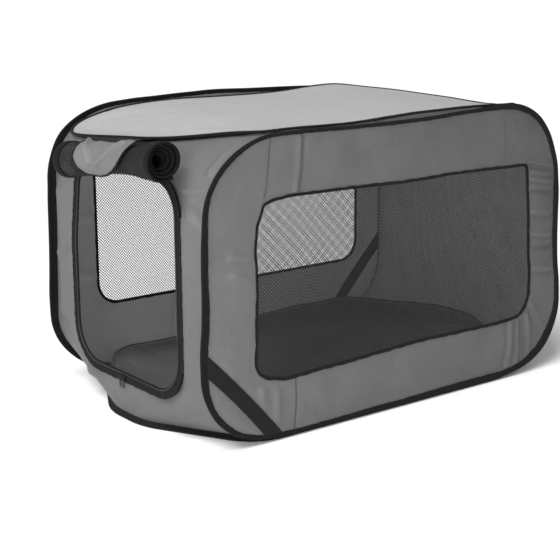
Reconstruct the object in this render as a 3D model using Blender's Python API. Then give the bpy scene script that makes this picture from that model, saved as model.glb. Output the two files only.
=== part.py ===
"""Soft folding dog crate: four sprung steel hoops in tape sleeves, cloth walls, mesh windows and a rolled-up door.

Metres, +Z up. The origin is the middle of the floor, on the ground. -X is the door end, -Y the right side
as someone sees it who stands at the door. A plane outline is counter-clockwise, and its depth is positive
where it lies outside the crate.
"""

import math

import bmesh
import bpy
import numpy as np

# Overall sizes
LENGTH = 0.910
WIDTH = 0.564
HEIGHT = 0.580

# Outline of the two side hoops: how far each corner curve runs along the crate and how far it drops
SIDE_CORNER_RUN = 0.175
SIDE_CORNER_DROP = 0.143

# Outline of the floor and roof hoops: a long hexagon-like oval with a blunt nose at each end
NOSE_RUN = 0.117
SHOULDER_RADIUS = 0.100
NOSE_WIDTH = 0.120
NOSE_RADIUS = 0.160

# Spring wire, the crimped ferrule that joins its ends, and the tape sleeve round it
WIRE_WIDTH = 0.0030
WIRE_THICKNESS = 0.0012
WIRE_END_GAP = 0.0040
FERRULE_WALL = 0.0004
FERRULE_LENGTH = 0.0240
TAPE_WALL = 0.0009
TAPE_WIDTH_AT_ENDS = 0.0140
TAPE_WIDTH_ON_LONG_EDGES = 0.0095

# Cloth, and the clearance between neighbours
CLOTH = 0.0008
MESH_CLOTH = 0.0006
GAP = 0.0003

# Floor cloth: the rim is held in the sleeve, and the middle lies on the ground
FLOOR_RIM = 0.0160
FLOOR_RAMP = 0.0140

# Loose padded mat on the floor
MAT_CLEARANCE = 0.022
MAT_HEIGHT = 0.058
MAT_RING_SHARES = (
    (0.90, 0.00),
    (0.96, 0.00),
    (0.985, 0.12),
    (1.00, 0.45),
    (1.00, 0.75),
    (0.985, 0.95),
    (0.955, 1.00),
    (0.91, 0.93),
    (0.80, 0.80),
    (0.62, 0.78),
    (0.35, 0.81),
)

# Window in each side, and the tape round it
WINDOW_FRONT_MARGIN = 0.114
WINDOW_REAR_MARGIN = 0.089
WINDOW_TOP_MARGIN = 0.124
WINDOW_SILL_RIGHT = 0.118
WINDOW_SILL_LEFT = 0.140
WINDOW_LOWER_RADIUS = 0.045
WINDOW_UPPER_RADIUS = 0.016
EDGE_TAPE_WIDTH = 0.0090
EDGE_TAPE_WALL = 0.0008

# Webbing strap across one lower corner of each side, placed by a point on its middle line. It lies on the
# outside of the right wall and on the inside of the left one
STRAP_WIDTH = 0.036
STRAP_THICKNESS = 0.0008
STRAP_FROM_END = 0.070
STRAP_ABOVE_FLOOR = 0.098
STRAP_SLOPE = math.radians(47.5)

# Doorway in the front end, and the zip's tape round it
DOOR_WIDTH = 0.350
DOOR_SILL = 0.096
DOOR_TOP_MARGIN = 0.095
DOOR_RADIUS = 0.058
ZIP_TAPE_WIDTH = 0.020
END_SEAM_INSET = 0.0015

# Mesh door, rolled up over the doorway: a spiral of padded mesh, fatter at its ends, whose tail runs to the
# doorway's top edge
ROLL_TURNS = 3.875
ROLL_RIGHT_OVERHANG = 0.025
ROLL_LEFT_OVERHANG = 0.005
ROLL_RIGHT_RISE = 0.046
ROLL_LEFT_RISE = 0.020
ROLL_RADIUS = 0.045
ROLL_BORE_RADIUS = 0.013
ROLL_SHEET = 0.0040
ROLL_RADIUS_SHARES = (1.00, 0.98, 0.84, 0.78, 0.78, 0.84, 0.93, 0.95)

# Cloth flap that hangs from the nose of the roof and keeps the roll up
FLAP_RIGHT_Y = -0.145
FLAP_LEFT_Y = 0.062
FLAP_CLEARANCE = 0.0015
FLAP_WRAP = math.radians(118)
FLAP_RISE = 0.0020

# Zip sliders on the doorway's sill, each with a pull
SLIDER_LENGTH = 0.0080
SLIDER_HEIGHT = 0.0064
SLIDER_THICKNESS = 0.0026
SLIDER_SPACING = 0.0110
STAPLE_WALL = 0.0008
STAPLE_EYE = 0.0024
STAPLE_EYE_DEPTH = 0.0022
STAPLE_WIDTH = 0.0016
PULL_WIDTH = 0.0060
PULL_LENGTH = 0.0220
PULL_THICKNESS = 0.0010
PULL_BAR = 0.0012
PULL_WINDOW_LENGTH = 0.0050
PULL_WINDOW_WIDTH = 0.0030

# How finely curves are cut
SIDE_CORNER_STEPS = 9
SHOULDER_STEPS = 6
NOSE_STEPS = 4
RULING_STEPS = 10
RULING_CUTS = 2
SMALL_CORNER_STEPS = 5
ROLL_STEPS_PER_TURN = 15
FLAP_STEPS = 10

# Worked out from the sizes above
CAVITY_WIDTH = WIRE_WIDTH + 2 * (2 * GAP + FERRULE_WALL)
CAVITY_THICKNESS = WIRE_THICKNESS + 2 * (2 * GAP + FERRULE_WALL)
HOOP_THICKNESS = CAVITY_THICKNESS + 2 * TAPE_WALL
CHANNEL_FLOOR = TAPE_WALL + CAVITY_WIDTH
PLAN_HALF_WIDTH = WIDTH / 2 - HOOP_THICKNESS - GAP
SHOULDER_X = LENGTH / 2 - NOSE_RUN
SIDE_LOW = HOOP_THICKNESS + GAP
SIDE_HIGH = HEIGHT - HOOP_THICKNESS - GAP
CLOTH_FACE = CLOTH / 2 + GAP
WINDOW_FRONT_X = WINDOW_FRONT_MARGIN - LENGTH / 2
WINDOW_REAR_X = LENGTH / 2 - WINDOW_REAR_MARGIN
WINDOW_TOP = HEIGHT - WINDOW_TOP_MARGIN
DOOR_PLANE_X = -(LENGTH / 2 - END_SEAM_INSET)
DOOR_TOP = HEIGHT - DOOR_TOP_MARGIN
ROLL_RIGHT_Y = -(DOOR_WIDTH / 2 + ROLL_RIGHT_OVERHANG)
ROLL_LEFT_Y = DOOR_WIDTH / 2 + ROLL_LEFT_OVERHANG
ROLL_RIGHT_Z = DOOR_TOP + ROLL_RIGHT_RISE
ROLL_LEFT_Z = DOOR_TOP + ROLL_LEFT_RISE
EDGE_TAPE_FACE = CLOTH_FACE + EDGE_TAPE_WALL

# Finishes: colour, roughness, metallic
GREY_CLOTH = ((0.20, 0.20, 0.20, 1), 0.80, 0.0)
LIGHT_CLOTH = ((0.42, 0.42, 0.42, 1), 0.75, 0.0)
BLACK_TAPE = ((0.012, 0.012, 0.013, 1), 0.75, 0.0)
BLACK_WEBBING = ((0.010, 0.010, 0.011, 1), 0.70, 0.0)
BLACK_MESH = ((0.020, 0.020, 0.020, 1), 0.80, 0.0)
DARK_MAT = ((0.022, 0.022, 0.023, 1), 0.90, 0.0)
SPRING_STEEL = ((0.45, 0.46, 0.48, 1), 0.35, 1.0)
ZIP_METAL = ((0.08, 0.08, 0.085, 1), 0.40, 1.0)


def clear_scene():
    """Removes whatever the file held before."""
    for obj in list(bpy.data.objects):
        bpy.data.objects.remove(obj, do_unlink=True)


def dress(obj, finish):
    """Gives the object its own material."""
    colour, roughness, metallic = finish
    skin = bpy.data.materials.new(obj.name)
    skin.use_nodes = True
    shader = skin.node_tree.nodes["Principled BSDF"]
    shader.inputs["Base Color"].default_value = colour
    shader.inputs["Roughness"].default_value = roughness
    shader.inputs["Metallic"].default_value = metallic
    skin.diffuse_color = colour
    obj.data.materials.append(skin)


def finish_object(name, bm, finish, pivot=(0, 0, 0), smooth=True):
    """Turns the built mesh into a named object whose origin is at the pivot."""
    bmesh.ops.recalc_face_normals(bm, faces=bm.faces)
    bmesh.ops.translate(bm, verts=bm.verts, vec=[-c for c in pivot])
    mesh = bpy.data.meshes.new(name)
    bm.to_mesh(mesh)
    bm.free()
    obj = bpy.data.objects.new(name, mesh)
    obj.location = pivot
    bpy.context.scene.collection.objects.link(obj)
    if smooth:
        mesh.shade_smooth()
        mesh.set_sharp_from_angle(angle=math.radians(35))
    dress(obj, finish)
    return obj


def thicken(obj, thickness):
    """Gives a one-layer sheet its thickness, half to each side."""
    wall = obj.modifiers.new("cloth thickness", "SOLIDIFY")
    wall.thickness = thickness
    wall.offset = 0
    wall.use_even_offset = True
    return obj


def loft(name, loops, finish, closed=False, pivot=(0, 0, 0)):
    """One skin over a row of equal loops, which closes on itself or gets a cap at each end."""
    bm = bmesh.new()
    rings = [[bm.verts.new(point) for point in loop] for loop in loops]
    following = rings[1:] + rings[:1] if closed else rings[1:]
    for first, second in zip(rings, following):
        for i in range(len(first)):
            j = (i + 1) % len(first)
            bm.faces.new((first[i], first[j], second[j], second[i]))
    if not closed:
        bm.faces.new(rings[0][::-1])
        bm.faces.new(rings[-1])
    return finish_object(name, bm, finish, pivot)


def flat_sheet(name, loops, place, finish, thickness, pivot=(0, 0, 0)):
    """A flat sheet inside the first outline, with a hole for each further one."""
    bm = bmesh.new()
    edges = []
    for loop in loops:
        ring = [bm.verts.new(point) for point in place(loop, 0)]
        edges += [bm.edges.new((ring[i - 1], ring[i])) for i in range(len(ring))]
    bmesh.ops.triangle_fill(bm, use_beauty=True, edges=edges)
    return thicken(finish_object(name, bm, finish, pivot, smooth=False), thickness)


def filleted(corners, radii, steps):
    """A closed outline with straight sides and an arc of its own radius at each corner."""
    points = []
    for i, corner in enumerate(corners):
        back = corners[i - 1] - corner
        ahead = corners[(i + 1) % len(corners)] - corner
        back, ahead = back / np.linalg.norm(back), ahead / np.linalg.norm(ahead)
        half_angle = math.acos(float(back @ ahead)) / 2
        middle = (back + ahead) / np.linalg.norm(back + ahead)
        centre = corner + middle * radii[i] / math.sin(half_angle)
        arm = corner + back * radii[i] / math.tan(half_angle) - centre
        for turn in np.linspace(0, math.pi - 2 * half_angle, steps[i] + 1):
            c, s = math.cos(turn), math.sin(turn)
            points.append(centre + (c * arm[0] - s * arm[1], s * arm[0] + c * arm[1]))
    return np.array(points)


def inset(outline, distance):
    """The outline moved inward by one distance, or by one for each point, its sides kept parallel."""
    ahead = np.roll(outline, -1, axis=0) - outline
    ahead /= np.linalg.norm(ahead, axis=1, keepdims=True)
    behind = np.roll(ahead, 1, axis=0)
    both = ahead + behind
    inward = np.column_stack([-both[:, 1], both[:, 0]])
    inward /= 1 + (ahead * behind).sum(axis=1, keepdims=True)
    return outline + inward * np.reshape(distance, (-1, 1))


def resampled(curve, count):
    """The curve's shape with its points spread evenly along it."""
    steps = np.linalg.norm(np.diff(curve, axis=0), axis=1)
    run = np.concatenate([[0], np.cumsum(steps)])
    places = np.linspace(0, run[-1], count)
    return np.column_stack([np.interp(places, run, curve[:, k]) for k in range(curve.shape[1])])


def plan_outline():
    """The floor and roof hoops' outer edge, seen from above."""
    x, y, nose_x, nose_y = SHOULDER_X, PLAN_HALF_WIDTH, LENGTH / 2, NOSE_WIDTH / 2
    quarter = [(nose_x, nose_y), (x, y)]
    corners = quarter + [(-a, b) for a, b in quarter[::-1]]
    corners += [(-a, -b) for a, b in corners]
    nose_first = [NOSE_RADIUS, SHOULDER_RADIUS, SHOULDER_RADIUS, NOSE_RADIUS] * 2
    steps = [NOSE_STEPS, SHOULDER_STEPS, SHOULDER_STEPS, NOSE_STEPS] * 2
    return filleted([np.array(c) for c in corners], nose_first, steps)


def side_outline():
    """A side hoop's outer edge, seen from the side: straight edges and elliptical corners."""
    x, middle = LENGTH / 2 - SIDE_CORNER_RUN, (SIDE_LOW + SIDE_HIGH) / 2
    z = (SIDE_HIGH - SIDE_LOW) / 2 - SIDE_CORNER_DROP
    points = []
    for quarter, (sx, sz) in enumerate(((1, 1), (-1, 1), (-1, -1), (1, -1))):
        for turn in np.linspace(quarter, quarter + 1, SIDE_CORNER_STEPS + 1) * math.pi / 2:
            run, drop = SIDE_CORNER_RUN * math.cos(turn), SIDE_CORNER_DROP * math.sin(turn)
            points.append((sx * x + run, middle + sz * z + drop))
    return np.array(points)


def level(z, up):
    """Places a plan outline at a height, its depth counted upward for the roof and downward for the floor."""
    return lambda plane, depth: np.column_stack([plane, np.broadcast_to(z + up * depth, len(plane))])


def upright(side):
    """Places a side outline in the middle plane of a side hoop: side is -1 for the right and 1 for the left."""
    y = WIDTH / 2 - HOOP_THICKNESS / 2

    def place(plane, depth):
        across = np.broadcast_to(side * (y + depth), len(plane))
        return np.column_stack([plane[:, 0], across, plane[:, 1]])

    return place


def tape_width(outline):
    """How far the sleeve's tape reaches in from the edge: less along the crate, more where it turns."""
    run = np.roll(outline, -1, axis=0) - np.roll(outline, 1, axis=0)
    along = (run[:, 0] / np.linalg.norm(run, axis=1)) ** 2
    return TAPE_WIDTH_AT_ENDS + (TAPE_WIDTH_ON_LONG_EDGES - TAPE_WIDTH_AT_ENDS) * along


def hoop_binding(name, outline, place):
    """Tape folded round the wire, its two legs on the cloth and its mouth open inward."""
    mouth = tape_width(outline)
    bead, cavity = HOOP_THICKNESS / 2, CAVITY_THICKNESS / 2
    leg = CLOTH_FACE + TAPE_WALL
    half = [(mouth, leg), (CHANNEL_FLOOR, bead), (0, bead)]
    hollow = [(mouth, CLOTH_FACE), (CHANNEL_FLOOR, cavity), (TAPE_WALL, cavity)]
    section = half + [(s, -q) for s, q in half[::-1]] + [(s, -q) for s, q in hollow] + hollow[::-1]
    lines = [place(inset(outline, s), q) for s, q in section]
    return loft(name, np.stack(lines, axis=1), BLACK_TAPE, closed=True)


def hoop_wire(name, outline, place):
    """Flat spring steel, one turn, with its two ends facing each other at the rear."""
    half_gap, x = WIRE_END_GAP / 2, outline[:, 0].max()
    middle = outline[np.isclose(outline[:, 0], x)][:, 1].mean()
    centre = CHANNEL_FLOOR - CAVITY_WIDTH / 2
    half_width, half_thickness = WIRE_WIDTH / 2, WIRE_THICKNESS / 2
    section = [(half_width, half_thickness), (-half_width, half_thickness)]
    section += [(s, -q) for s, q in section[::-1]]
    lines = []
    for s, q in section:
        line = inset(outline, centre + s)
        start = (line[:, 0].max(), middle + half_gap)
        end = (line[:, 0].max(), middle - half_gap)
        lines.append(place(np.concatenate([[start], line, [end]]), q))
    return loft(name, np.stack(lines, axis=1), SPRING_STEEL)


def hoop_ferrule(name, outline, place):
    """Flat steel tube crimped over the wire's two ends."""
    x = outline[:, 0].max()
    middle = outline[np.isclose(outline[:, 0], x)][:, 1].mean()
    centre = x - (CHANNEL_FLOOR - CAVITY_WIDTH / 2)
    inner = (WIRE_WIDTH / 2 + GAP, WIRE_THICKNESS / 2 + GAP)
    outer = tuple(half + FERRULE_WALL for half in inner)
    ends = (middle - FERRULE_LENGTH / 2, middle + FERRULE_LENGTH / 2)
    loops = []
    for (half_width, half_thickness), end in zip((outer, outer, inner, inner), ends + ends[::-1]):
        loop = [
            place(np.array([(centre + u * half_width, end)]), v * half_thickness)[0]
            for u, v in ((1, 1), (-1, 1), (-1, -1), (1, -1))
        ]
        loops.append(loop)
    return loft(name, loops, SPRING_STEEL, closed=True)


def hoop(name, outline, place):
    """One sprung hoop: sleeve, wire and ferrule."""
    hoop_binding(f"{name}_binding", outline, place)
    hoop_wire(f"{name}_hoop_wire", outline, place)
    hoop_ferrule(f"{name}_hoop_ferrule", outline, place)


def edge_tape(name, hole, place, width):
    """Tape folded over the cut edge round a hole: two legs on the cloth and a web inside the hole."""
    face = CLOTH_FACE
    legs = [(-width, face), (-width, face + EDGE_TAPE_WALL), (0, face + EDGE_TAPE_WALL)]
    groove = [(-EDGE_TAPE_WALL, -face), (-EDGE_TAPE_WALL, face)]
    section = legs + [(s, -q) for s, q in legs[::-1]] + groove
    lines = [place(inset(hole, s), q) for s, q in section]
    return loft(name, np.stack(lines, axis=1), BLACK_TAPE, closed=True)


def roof_panel():
    """Light cloth held in the roof hoop's sleeve."""
    outline = inset(plan_outline(), CHANNEL_FLOOR + GAP)
    flat_sheet("top_panel", [outline], level(HEIGHT - HOOP_THICKNESS / 2, 1), LIGHT_CLOTH, CLOTH)


def floor_panel():
    """Floor cloth: its rim is held in the sleeve, and inside a short ramp it lies on the ground."""
    plan = plan_outline()
    rim, ground = HOOP_THICKNESS / 2, CLOTH / 2
    rings = [(CHANNEL_FLOOR + GAP, rim), (FLOOR_RIM, rim), (FLOOR_RIM + FLOOR_RAMP, ground)]
    bm = bmesh.new()
    loops = [[bm.verts.new(p) for p in level(z, 1)(inset(plan, s), 0)] for s, z in rings]
    for first, second in zip(loops, loops[1:]):
        for i in range(len(first)):
            bm.faces.new((first[i - 1], first[i], second[i], second[i - 1]))
    bm.faces.new(loops[-1])
    thicken(finish_object("floor_panel", bm, GREY_CLOTH), CLOTH)


def floor_mat():
    """Loose boxed mat with a raised rim, rounded sides and a low crown."""
    outline = inset(plan_outline(), MAT_CLEARANCE)
    bottom = CLOTH + GAP
    loops = [level(bottom + rise * MAT_HEIGHT, 1)(outline * share, 0) for share, rise in MAT_RING_SHARES]
    loft("floor_mat", loops, DARK_MAT)


def window_outline(sill):
    """The window's cut edge, seen from the side."""
    low, high = WINDOW_LOWER_RADIUS, WINDOW_UPPER_RADIUS
    corners = [(WINDOW_REAR_X, sill), (WINDOW_REAR_X, WINDOW_TOP)]
    corners += [(WINDOW_FRONT_X, WINDOW_TOP), (WINDOW_FRONT_X, sill)]
    return filleted([np.array(c) for c in corners], [low, high, high, low], [SMALL_CORNER_STEPS] * 4)


def strap_outline(end):
    """The strap's shape in the side's plane, cut off along the sleeve's inner edge at both ends."""
    outline = side_outline() * (end, 1)
    outline = outline[::end]
    inner = inset(outline, (tape_width(outline) + GAP))
    point = np.array([end * (LENGTH / 2 - STRAP_FROM_END), STRAP_ABOVE_FLOOR])
    across = np.array([-end * math.sin(STRAP_SLOPE), math.cos(STRAP_SLOPE)])
    corner = inner[(end * inner[:, 0] > 0) & (inner[:, 1] < HEIGHT / 2)]
    corner = resampled(corner[np.argsort(-corner[:, 1])], 12 * SIDE_CORNER_STEPS)
    reach = (corner - point) @ across
    lowest = int(reach.argmin())
    half = STRAP_WIDTH / 2
    upper = corner[:lowest][np.abs(reach[:lowest]) < half][::3]
    lower = corner[lowest:][np.abs(reach[lowest:]) < half][::3]
    return np.concatenate([upper, lower])


def side_wall(name, side, sill, strap_end):
    """One long side: hoop, cloth with a window, mesh, window tape and corner strap."""
    outline, place = side_outline(), upright(side)
    window = window_outline(sill)
    hoop(name, outline, place)
    cloth = [inset(outline, CHANNEL_FLOOR + GAP), inset(window, -(EDGE_TAPE_WALL + GAP))]
    flat_sheet(f"{name}_side_panel", cloth, place, GREY_CLOTH, CLOTH)
    edge_tape(f"{name}_window_binding", window, place, EDGE_TAPE_WIDTH)
    flat_sheet(f"{name}_window_mesh", [inset(window, GAP)], place, BLACK_MESH, MESH_CLOTH)

    def on_cloth(plane, depth):
        return place(plane, depth - side * (CLOTH_FACE + STRAP_THICKNESS / 2))

    strap = strap_outline(strap_end)
    flat_sheet(f"{name}_corner_strap", [strap], on_cloth, BLACK_WEBBING, STRAP_THICKNESS)


def end_corner(end, side, high):
    """Straight threads of cloth from the plan hoop's curve to the side hoop's curve in one corner of an end."""
    plan = inset(plan_outline(), END_SEAM_INSET)[: NOSE_STEPS + SHOULDER_STEPS + 2]
    wall = inset(side_outline(), END_SEAM_INSET)[: SIDE_CORNER_STEPS + 1]
    plan, wall = resampled(plan, RULING_STEPS + 1), resampled(wall, RULING_STEPS + 1)
    plan_z = HEIGHT - HOOP_THICKNESS - CLOTH_FACE
    wall_y = WIDTH / 2 - HOOP_THICKNESS - CLOTH_FACE
    starts = np.column_stack([plan, np.full(len(plan), plan_z)])
    ends = np.column_stack([wall[:, 0], np.full(len(wall), wall_y), wall[:, 1]])
    cuts = np.linspace(0, 1, RULING_CUTS + 1)[:, None, None]
    threads = starts * (1 - cuts) + ends * cuts
    if high < 0:
        threads[..., 2] = HEIGHT - threads[..., 2]
    return threads * (end, side, 1)


def door_outline():
    """The doorway's cut edge, as (y, z)."""
    y, low, high = DOOR_WIDTH / 2, DOOR_SILL, DOOR_TOP
    corners = [np.array(c) for c in ((y, low), (y, high), (-y, high), (-y, low))]
    return filleted(corners, [DOOR_RADIUS] * 4, [SMALL_CORNER_STEPS] * 4)


def on_door_plane(plane, depth):
    """Places an outline of (y, z) on the front end's flat middle."""
    return np.column_stack([np.broadcast_to(DOOR_PLANE_X - depth, len(plane)), plane])


def end_panel(name, end, doorway=None):
    """Cloth across an open end: a flat middle, and in each corner threads from hoop to hoop."""
    bm = bmesh.new()
    rim = []
    for side, high in ((1, 1), (1, -1), (-1, -1), (-1, 1)):
        threads = end_corner(end, side, high)
        grid = [[bm.verts.new(p) for p in row] for row in threads]
        for upper, lower in zip(grid, grid[1:]):
            for i in range(RULING_STEPS):
                bm.faces.new((upper[i], upper[i + 1], lower[i + 1], lower[i]))
        first = [row[0] for row in grid]
        rim += first if side * high > 0 else first[::-1]
    edges = [bm.edges.get(pair) or bm.edges.new(pair) for pair in zip(rim, rim[1:] + rim[:1])]
    if doorway is not None:
        ring = [bm.verts.new(p) for p in on_door_plane(doorway, 0)]
        edges += [bm.edges.new((ring[i - 1], ring[i])) for i in range(len(ring))]
    bmesh.ops.triangle_fill(bm, use_beauty=True, edges=edges)
    return thicken(finish_object(name, bm, GREY_CLOTH, smooth=False), CLOTH)


def roll_axis(y):
    """Radius, x and z of the rolled door at a place across the front."""
    share = (y - ROLL_RIGHT_Y) / (ROLL_LEFT_Y - ROLL_RIGHT_Y)
    places = np.linspace(0, 1, len(ROLL_RADIUS_SHARES))
    radius = ROLL_RADIUS * float(np.interp(share, places, ROLL_RADIUS_SHARES))
    z = ROLL_RIGHT_Z + (ROLL_LEFT_Z - ROLL_RIGHT_Z) * share
    return radius, DOOR_PLANE_X - EDGE_TAPE_FACE - GAP - radius, z


def roll_share(turns):
    """The spiral's outer radius after so many turns, as a share of the roll's radius."""
    start = (ROLL_BORE_RADIUS + ROLL_SHEET) / ROLL_RADIUS
    return start + (1 - start) * turns / ROLL_TURNS


def rolled_door():
    """The mesh door as one rolled sheet, hung by its tail from the tape over the doorway."""
    turns = np.linspace(0, ROLL_TURNS, round(ROLL_TURNS * ROLL_STEPS_PER_TURN) + 1)
    heading = np.column_stack([np.cos(2 * math.pi * turns), np.sin(2 * math.pi * turns)])
    outer = roll_share(turns)[:, None]
    spiral_outer = heading * outer
    spiral_inner = heading * (outer - ROLL_SHEET / ROLL_RADIUS)
    seam_z = DOOR_TOP + ZIP_TAPE_WIDTH / 2
    loops = []
    for y in np.linspace(ROLL_RIGHT_Y, ROLL_LEFT_Y, len(ROLL_RADIUS_SHARES)):
        radius, x, z = roll_axis(y)
        tail = [(radius, seam_z - z - ROLL_SHEET / 2), (radius, seam_z - z + ROLL_SHEET / 2)]
        flat = np.concatenate([spiral_outer * radius, tail, spiral_inner[::-1] * radius])
        loops.append(np.column_stack([x + flat[:, 0], np.full(len(flat), y), z + flat[:, 1]]))
    loft("rolled_door", loops, BLACK_MESH)


def flap_point(y, share):
    """A point of the flap: down from the roof's nose, then round the front of the roll."""
    radius, x, z = roll_axis(y)
    hinge = flap_hinge()
    middle, half = (FLAP_RIGHT_Y + FLAP_LEFT_Y) / 2, (FLAP_LEFT_Y - FLAP_RIGHT_Y) / 2
    reach = math.sqrt(max(1 - ((y - middle) / half) ** 2, 0))
    back, rise = hinge[0] - x, hinge[2] - z
    lean = 1 / FLAP_STEPS
    whole = math.floor(ROLL_TURNS)
    over = radius * roll_share(whole + 0.25) + FLAP_CLEARANCE + CLOTH / 2
    top = math.atan2(rise, back) + math.acos(min(over / math.hypot(back, rise), 1))
    turn = top + FLAP_WRAP * reach * max(share - lean, 0) / (1 - lean)
    over = radius * roll_share(whole + turn / (2 * math.pi)) + FLAP_CLEARANCE + CLOTH / 2
    around = np.array([x + over * math.cos(turn), y, z + over * math.sin(turn)])
    wrapped = min(share / lean, 1)
    return around * wrapped + (hinge + (0, y, 0)) * (1 - wrapped)


def flap_hinge():
    """The line that the flap swings on, just outside the nose of the roof hoop."""
    return np.array([-(LENGTH / 2 + GAP + CLOTH / 2), 0, HEIGHT - HOOP_THICKNESS / 2 + FLAP_RISE])


def keeper_flap():
    """Cloth flap with a rounded lower edge, on its hinge line."""
    margin = (FLAP_LEFT_Y - FLAP_RIGHT_Y) / (4 * FLAP_STEPS)
    across = np.linspace(FLAP_RIGHT_Y + margin, FLAP_LEFT_Y - margin, 2 * FLAP_STEPS + 1)
    down = np.linspace(0, 1, FLAP_STEPS + 1)
    bm = bmesh.new()
    grid = [[bm.verts.new(flap_point(y, share)) for share in down] for y in across]
    for first, second in zip(grid, grid[1:]):
        for i in range(FLAP_STEPS):
            bm.faces.new((first[i], first[i + 1], second[i + 1], second[i]))
    thicken(finish_object("keeper_flap", bm, LIGHT_CLOTH, pivot=flap_hinge()), CLOTH)


def box_loops(low, high):
    """The two end loops of a box, for a loft."""
    (x0, y0, z0), (x1, y1, z1) = low, high
    return [[(x, y0, z0), (x, y1, z0), (x, y1, z1), (x, y0, z1)] for x in (x0, x1)]


def slider_places():
    """Front face, sill height and staple middle that the sliders and pulls share."""
    face = DOOR_PLANE_X - EDGE_TAPE_FACE - GAP
    z = DOOR_SILL - ZIP_TAPE_WIDTH / 2
    front = face - SLIDER_THICKNESS
    return face, z, front


def zip_slider(name, y):
    """Slider body with a staple on its front that carries the pull."""
    face, z, front = slider_places()
    half, wide = SLIDER_HEIGHT / 2, SLIDER_LENGTH / 2
    body = loft(name, box_loops((front, y - wide, z - half), (face, y + wide, z + half)), ZIP_METAL)
    eye, wall = STAPLE_EYE / 2, STAPLE_WALL
    tip, root = front - STAPLE_EYE_DEPTH - wall, front + SLIDER_THICKNESS / 2
    legs = [(root, eye + wall), (tip, eye + wall), (tip, -eye - wall), (root, -eye - wall)]
    legs += [(root, -eye), (front - STAPLE_EYE_DEPTH, -eye), (front - STAPLE_EYE_DEPTH, eye), (root, eye)]
    loops = [[(a, y + w, z + b) for a, b in legs] for w in (-STAPLE_WIDTH / 2, STAPLE_WIDTH / 2)]
    staple = loft(f"{name}_staple", loops, ZIP_METAL)
    staple.hide_render = True
    staple.display_type = "WIRE"
    join = body.modifiers.new("staple", "BOOLEAN")
    join.operation = "UNION"
    join.object = staple
    return body


def zip_pull(name, y):
    """Flat pull that hangs by its top bar in the slider's staple."""
    _, z, front = slider_places()
    x = front - STAPLE_EYE_DEPTH / 2
    top, wide = PULL_BAR / 2, PULL_WIDTH / 2
    corners = [(wide, top - PULL_LENGTH), (wide, top), (-wide, top), (-wide, top - PULL_LENGTH)]
    outer = filleted([np.array(c) for c in corners], [PULL_BAR] * 4, [2] * 4)
    side, low = PULL_WINDOW_WIDTH / 2, -top - PULL_WINDOW_LENGTH
    eye = np.array([(side, low), (side, -top), (-side, -top), (-side, low)])

    def place(plane, depth):
        return np.column_stack([np.full(len(plane), x - depth), y + plane[:, 0], z + plane[:, 1]])

    flat_sheet(name, [outer, eye], place, ZIP_METAL, PULL_THICKNESS, pivot=(x, y, z))


def zip_parts():
    """The two sliders and pulls, side by side in the middle of the sill."""
    for name, side in (("right", -1), ("left", 1)):
        y = side * SLIDER_SPACING / 2
        zip_slider(f"{name}_zip_slider", y)
        zip_pull(f"{name}_zip_pull", y)


def build():
    """Models the crate."""
    clear_scene()
    plan = plan_outline()
    hoop("base", plan, level(HOOP_THICKNESS / 2, -1))
    floor_panel()
    floor_mat()
    hoop("top", plan, level(HEIGHT - HOOP_THICKNESS / 2, 1))
    roof_panel()
    side_wall("right", -1, WINDOW_SILL_RIGHT, -1)
    side_wall("left", 1, WINDOW_SILL_LEFT, 1)
    doorway = door_outline()
    end_panel("front_end_panel", -1, inset(doorway, -(EDGE_TAPE_WALL + GAP)))
    end_panel("rear_end_panel", 1)
    edge_tape("door_zip_tape", doorway, on_door_plane, ZIP_TAPE_WIDTH)
    rolled_door()
    keeper_flap()
    zip_parts()


build()
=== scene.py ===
"""Looks of the soft folding dog crate: sprung hoops in tape sleeves, cloth walls, net windows and a rolled-up door.

Metres, +Z up, the door end towards -X and the right side towards -Y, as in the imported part. Every surface is
worked out with numpy on a grid of two parameters, and every finish is a node material on the surface's own UVs,
which are in metres.
"""

import logging
import math
from dataclasses import dataclass
from enum import Enum
from functools import cached_property
from typing import Callable, Sequence

import bmesh
import bpy
import numpy as np
from bpy.types import ID, Material, Node, NodeSocket, Object
from mathutils import Matrix


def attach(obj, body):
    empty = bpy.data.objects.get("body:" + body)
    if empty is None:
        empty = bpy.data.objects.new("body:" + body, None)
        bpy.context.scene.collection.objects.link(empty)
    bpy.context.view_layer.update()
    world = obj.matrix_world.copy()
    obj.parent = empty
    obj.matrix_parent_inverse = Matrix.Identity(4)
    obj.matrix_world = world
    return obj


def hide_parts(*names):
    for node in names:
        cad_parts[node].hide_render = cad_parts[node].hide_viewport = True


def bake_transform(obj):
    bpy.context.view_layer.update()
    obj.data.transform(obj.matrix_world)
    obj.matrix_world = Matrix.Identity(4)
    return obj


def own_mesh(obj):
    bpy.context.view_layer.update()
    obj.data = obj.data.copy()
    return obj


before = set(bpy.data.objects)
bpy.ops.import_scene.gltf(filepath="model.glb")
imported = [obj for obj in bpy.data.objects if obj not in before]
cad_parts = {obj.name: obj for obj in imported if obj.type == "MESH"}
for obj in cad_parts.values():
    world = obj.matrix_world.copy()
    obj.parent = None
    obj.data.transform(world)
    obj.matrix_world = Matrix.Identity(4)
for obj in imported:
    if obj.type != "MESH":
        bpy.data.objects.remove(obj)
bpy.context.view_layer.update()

Array = np.ndarray
log = logging.getLogger("crate")

RIGHT, LEFT = -1, 1
FRONT, REAR = -1, 1
DOORWAY_MIDDLE = -0.015


class Slot(Enum):
    """The record's material slots."""

    GREY = "grey_cloth"
    LIGHT = "light_cloth"
    TAPE = "tape"
    WEBBING = "webbing"
    NET = "mesh"
    MAT = "mat"
    STEEL = "spring_steel"
    ZIP = "zip_metal"


def smooth(t: Array) -> Array:
    """Ease from 0 to 1 with level ends: 3t^2 - 2t^3 on the clipped t."""
    t = np.clip(t, 0.0, 1.0)
    return t * t * (3 - 2 * t)


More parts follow.
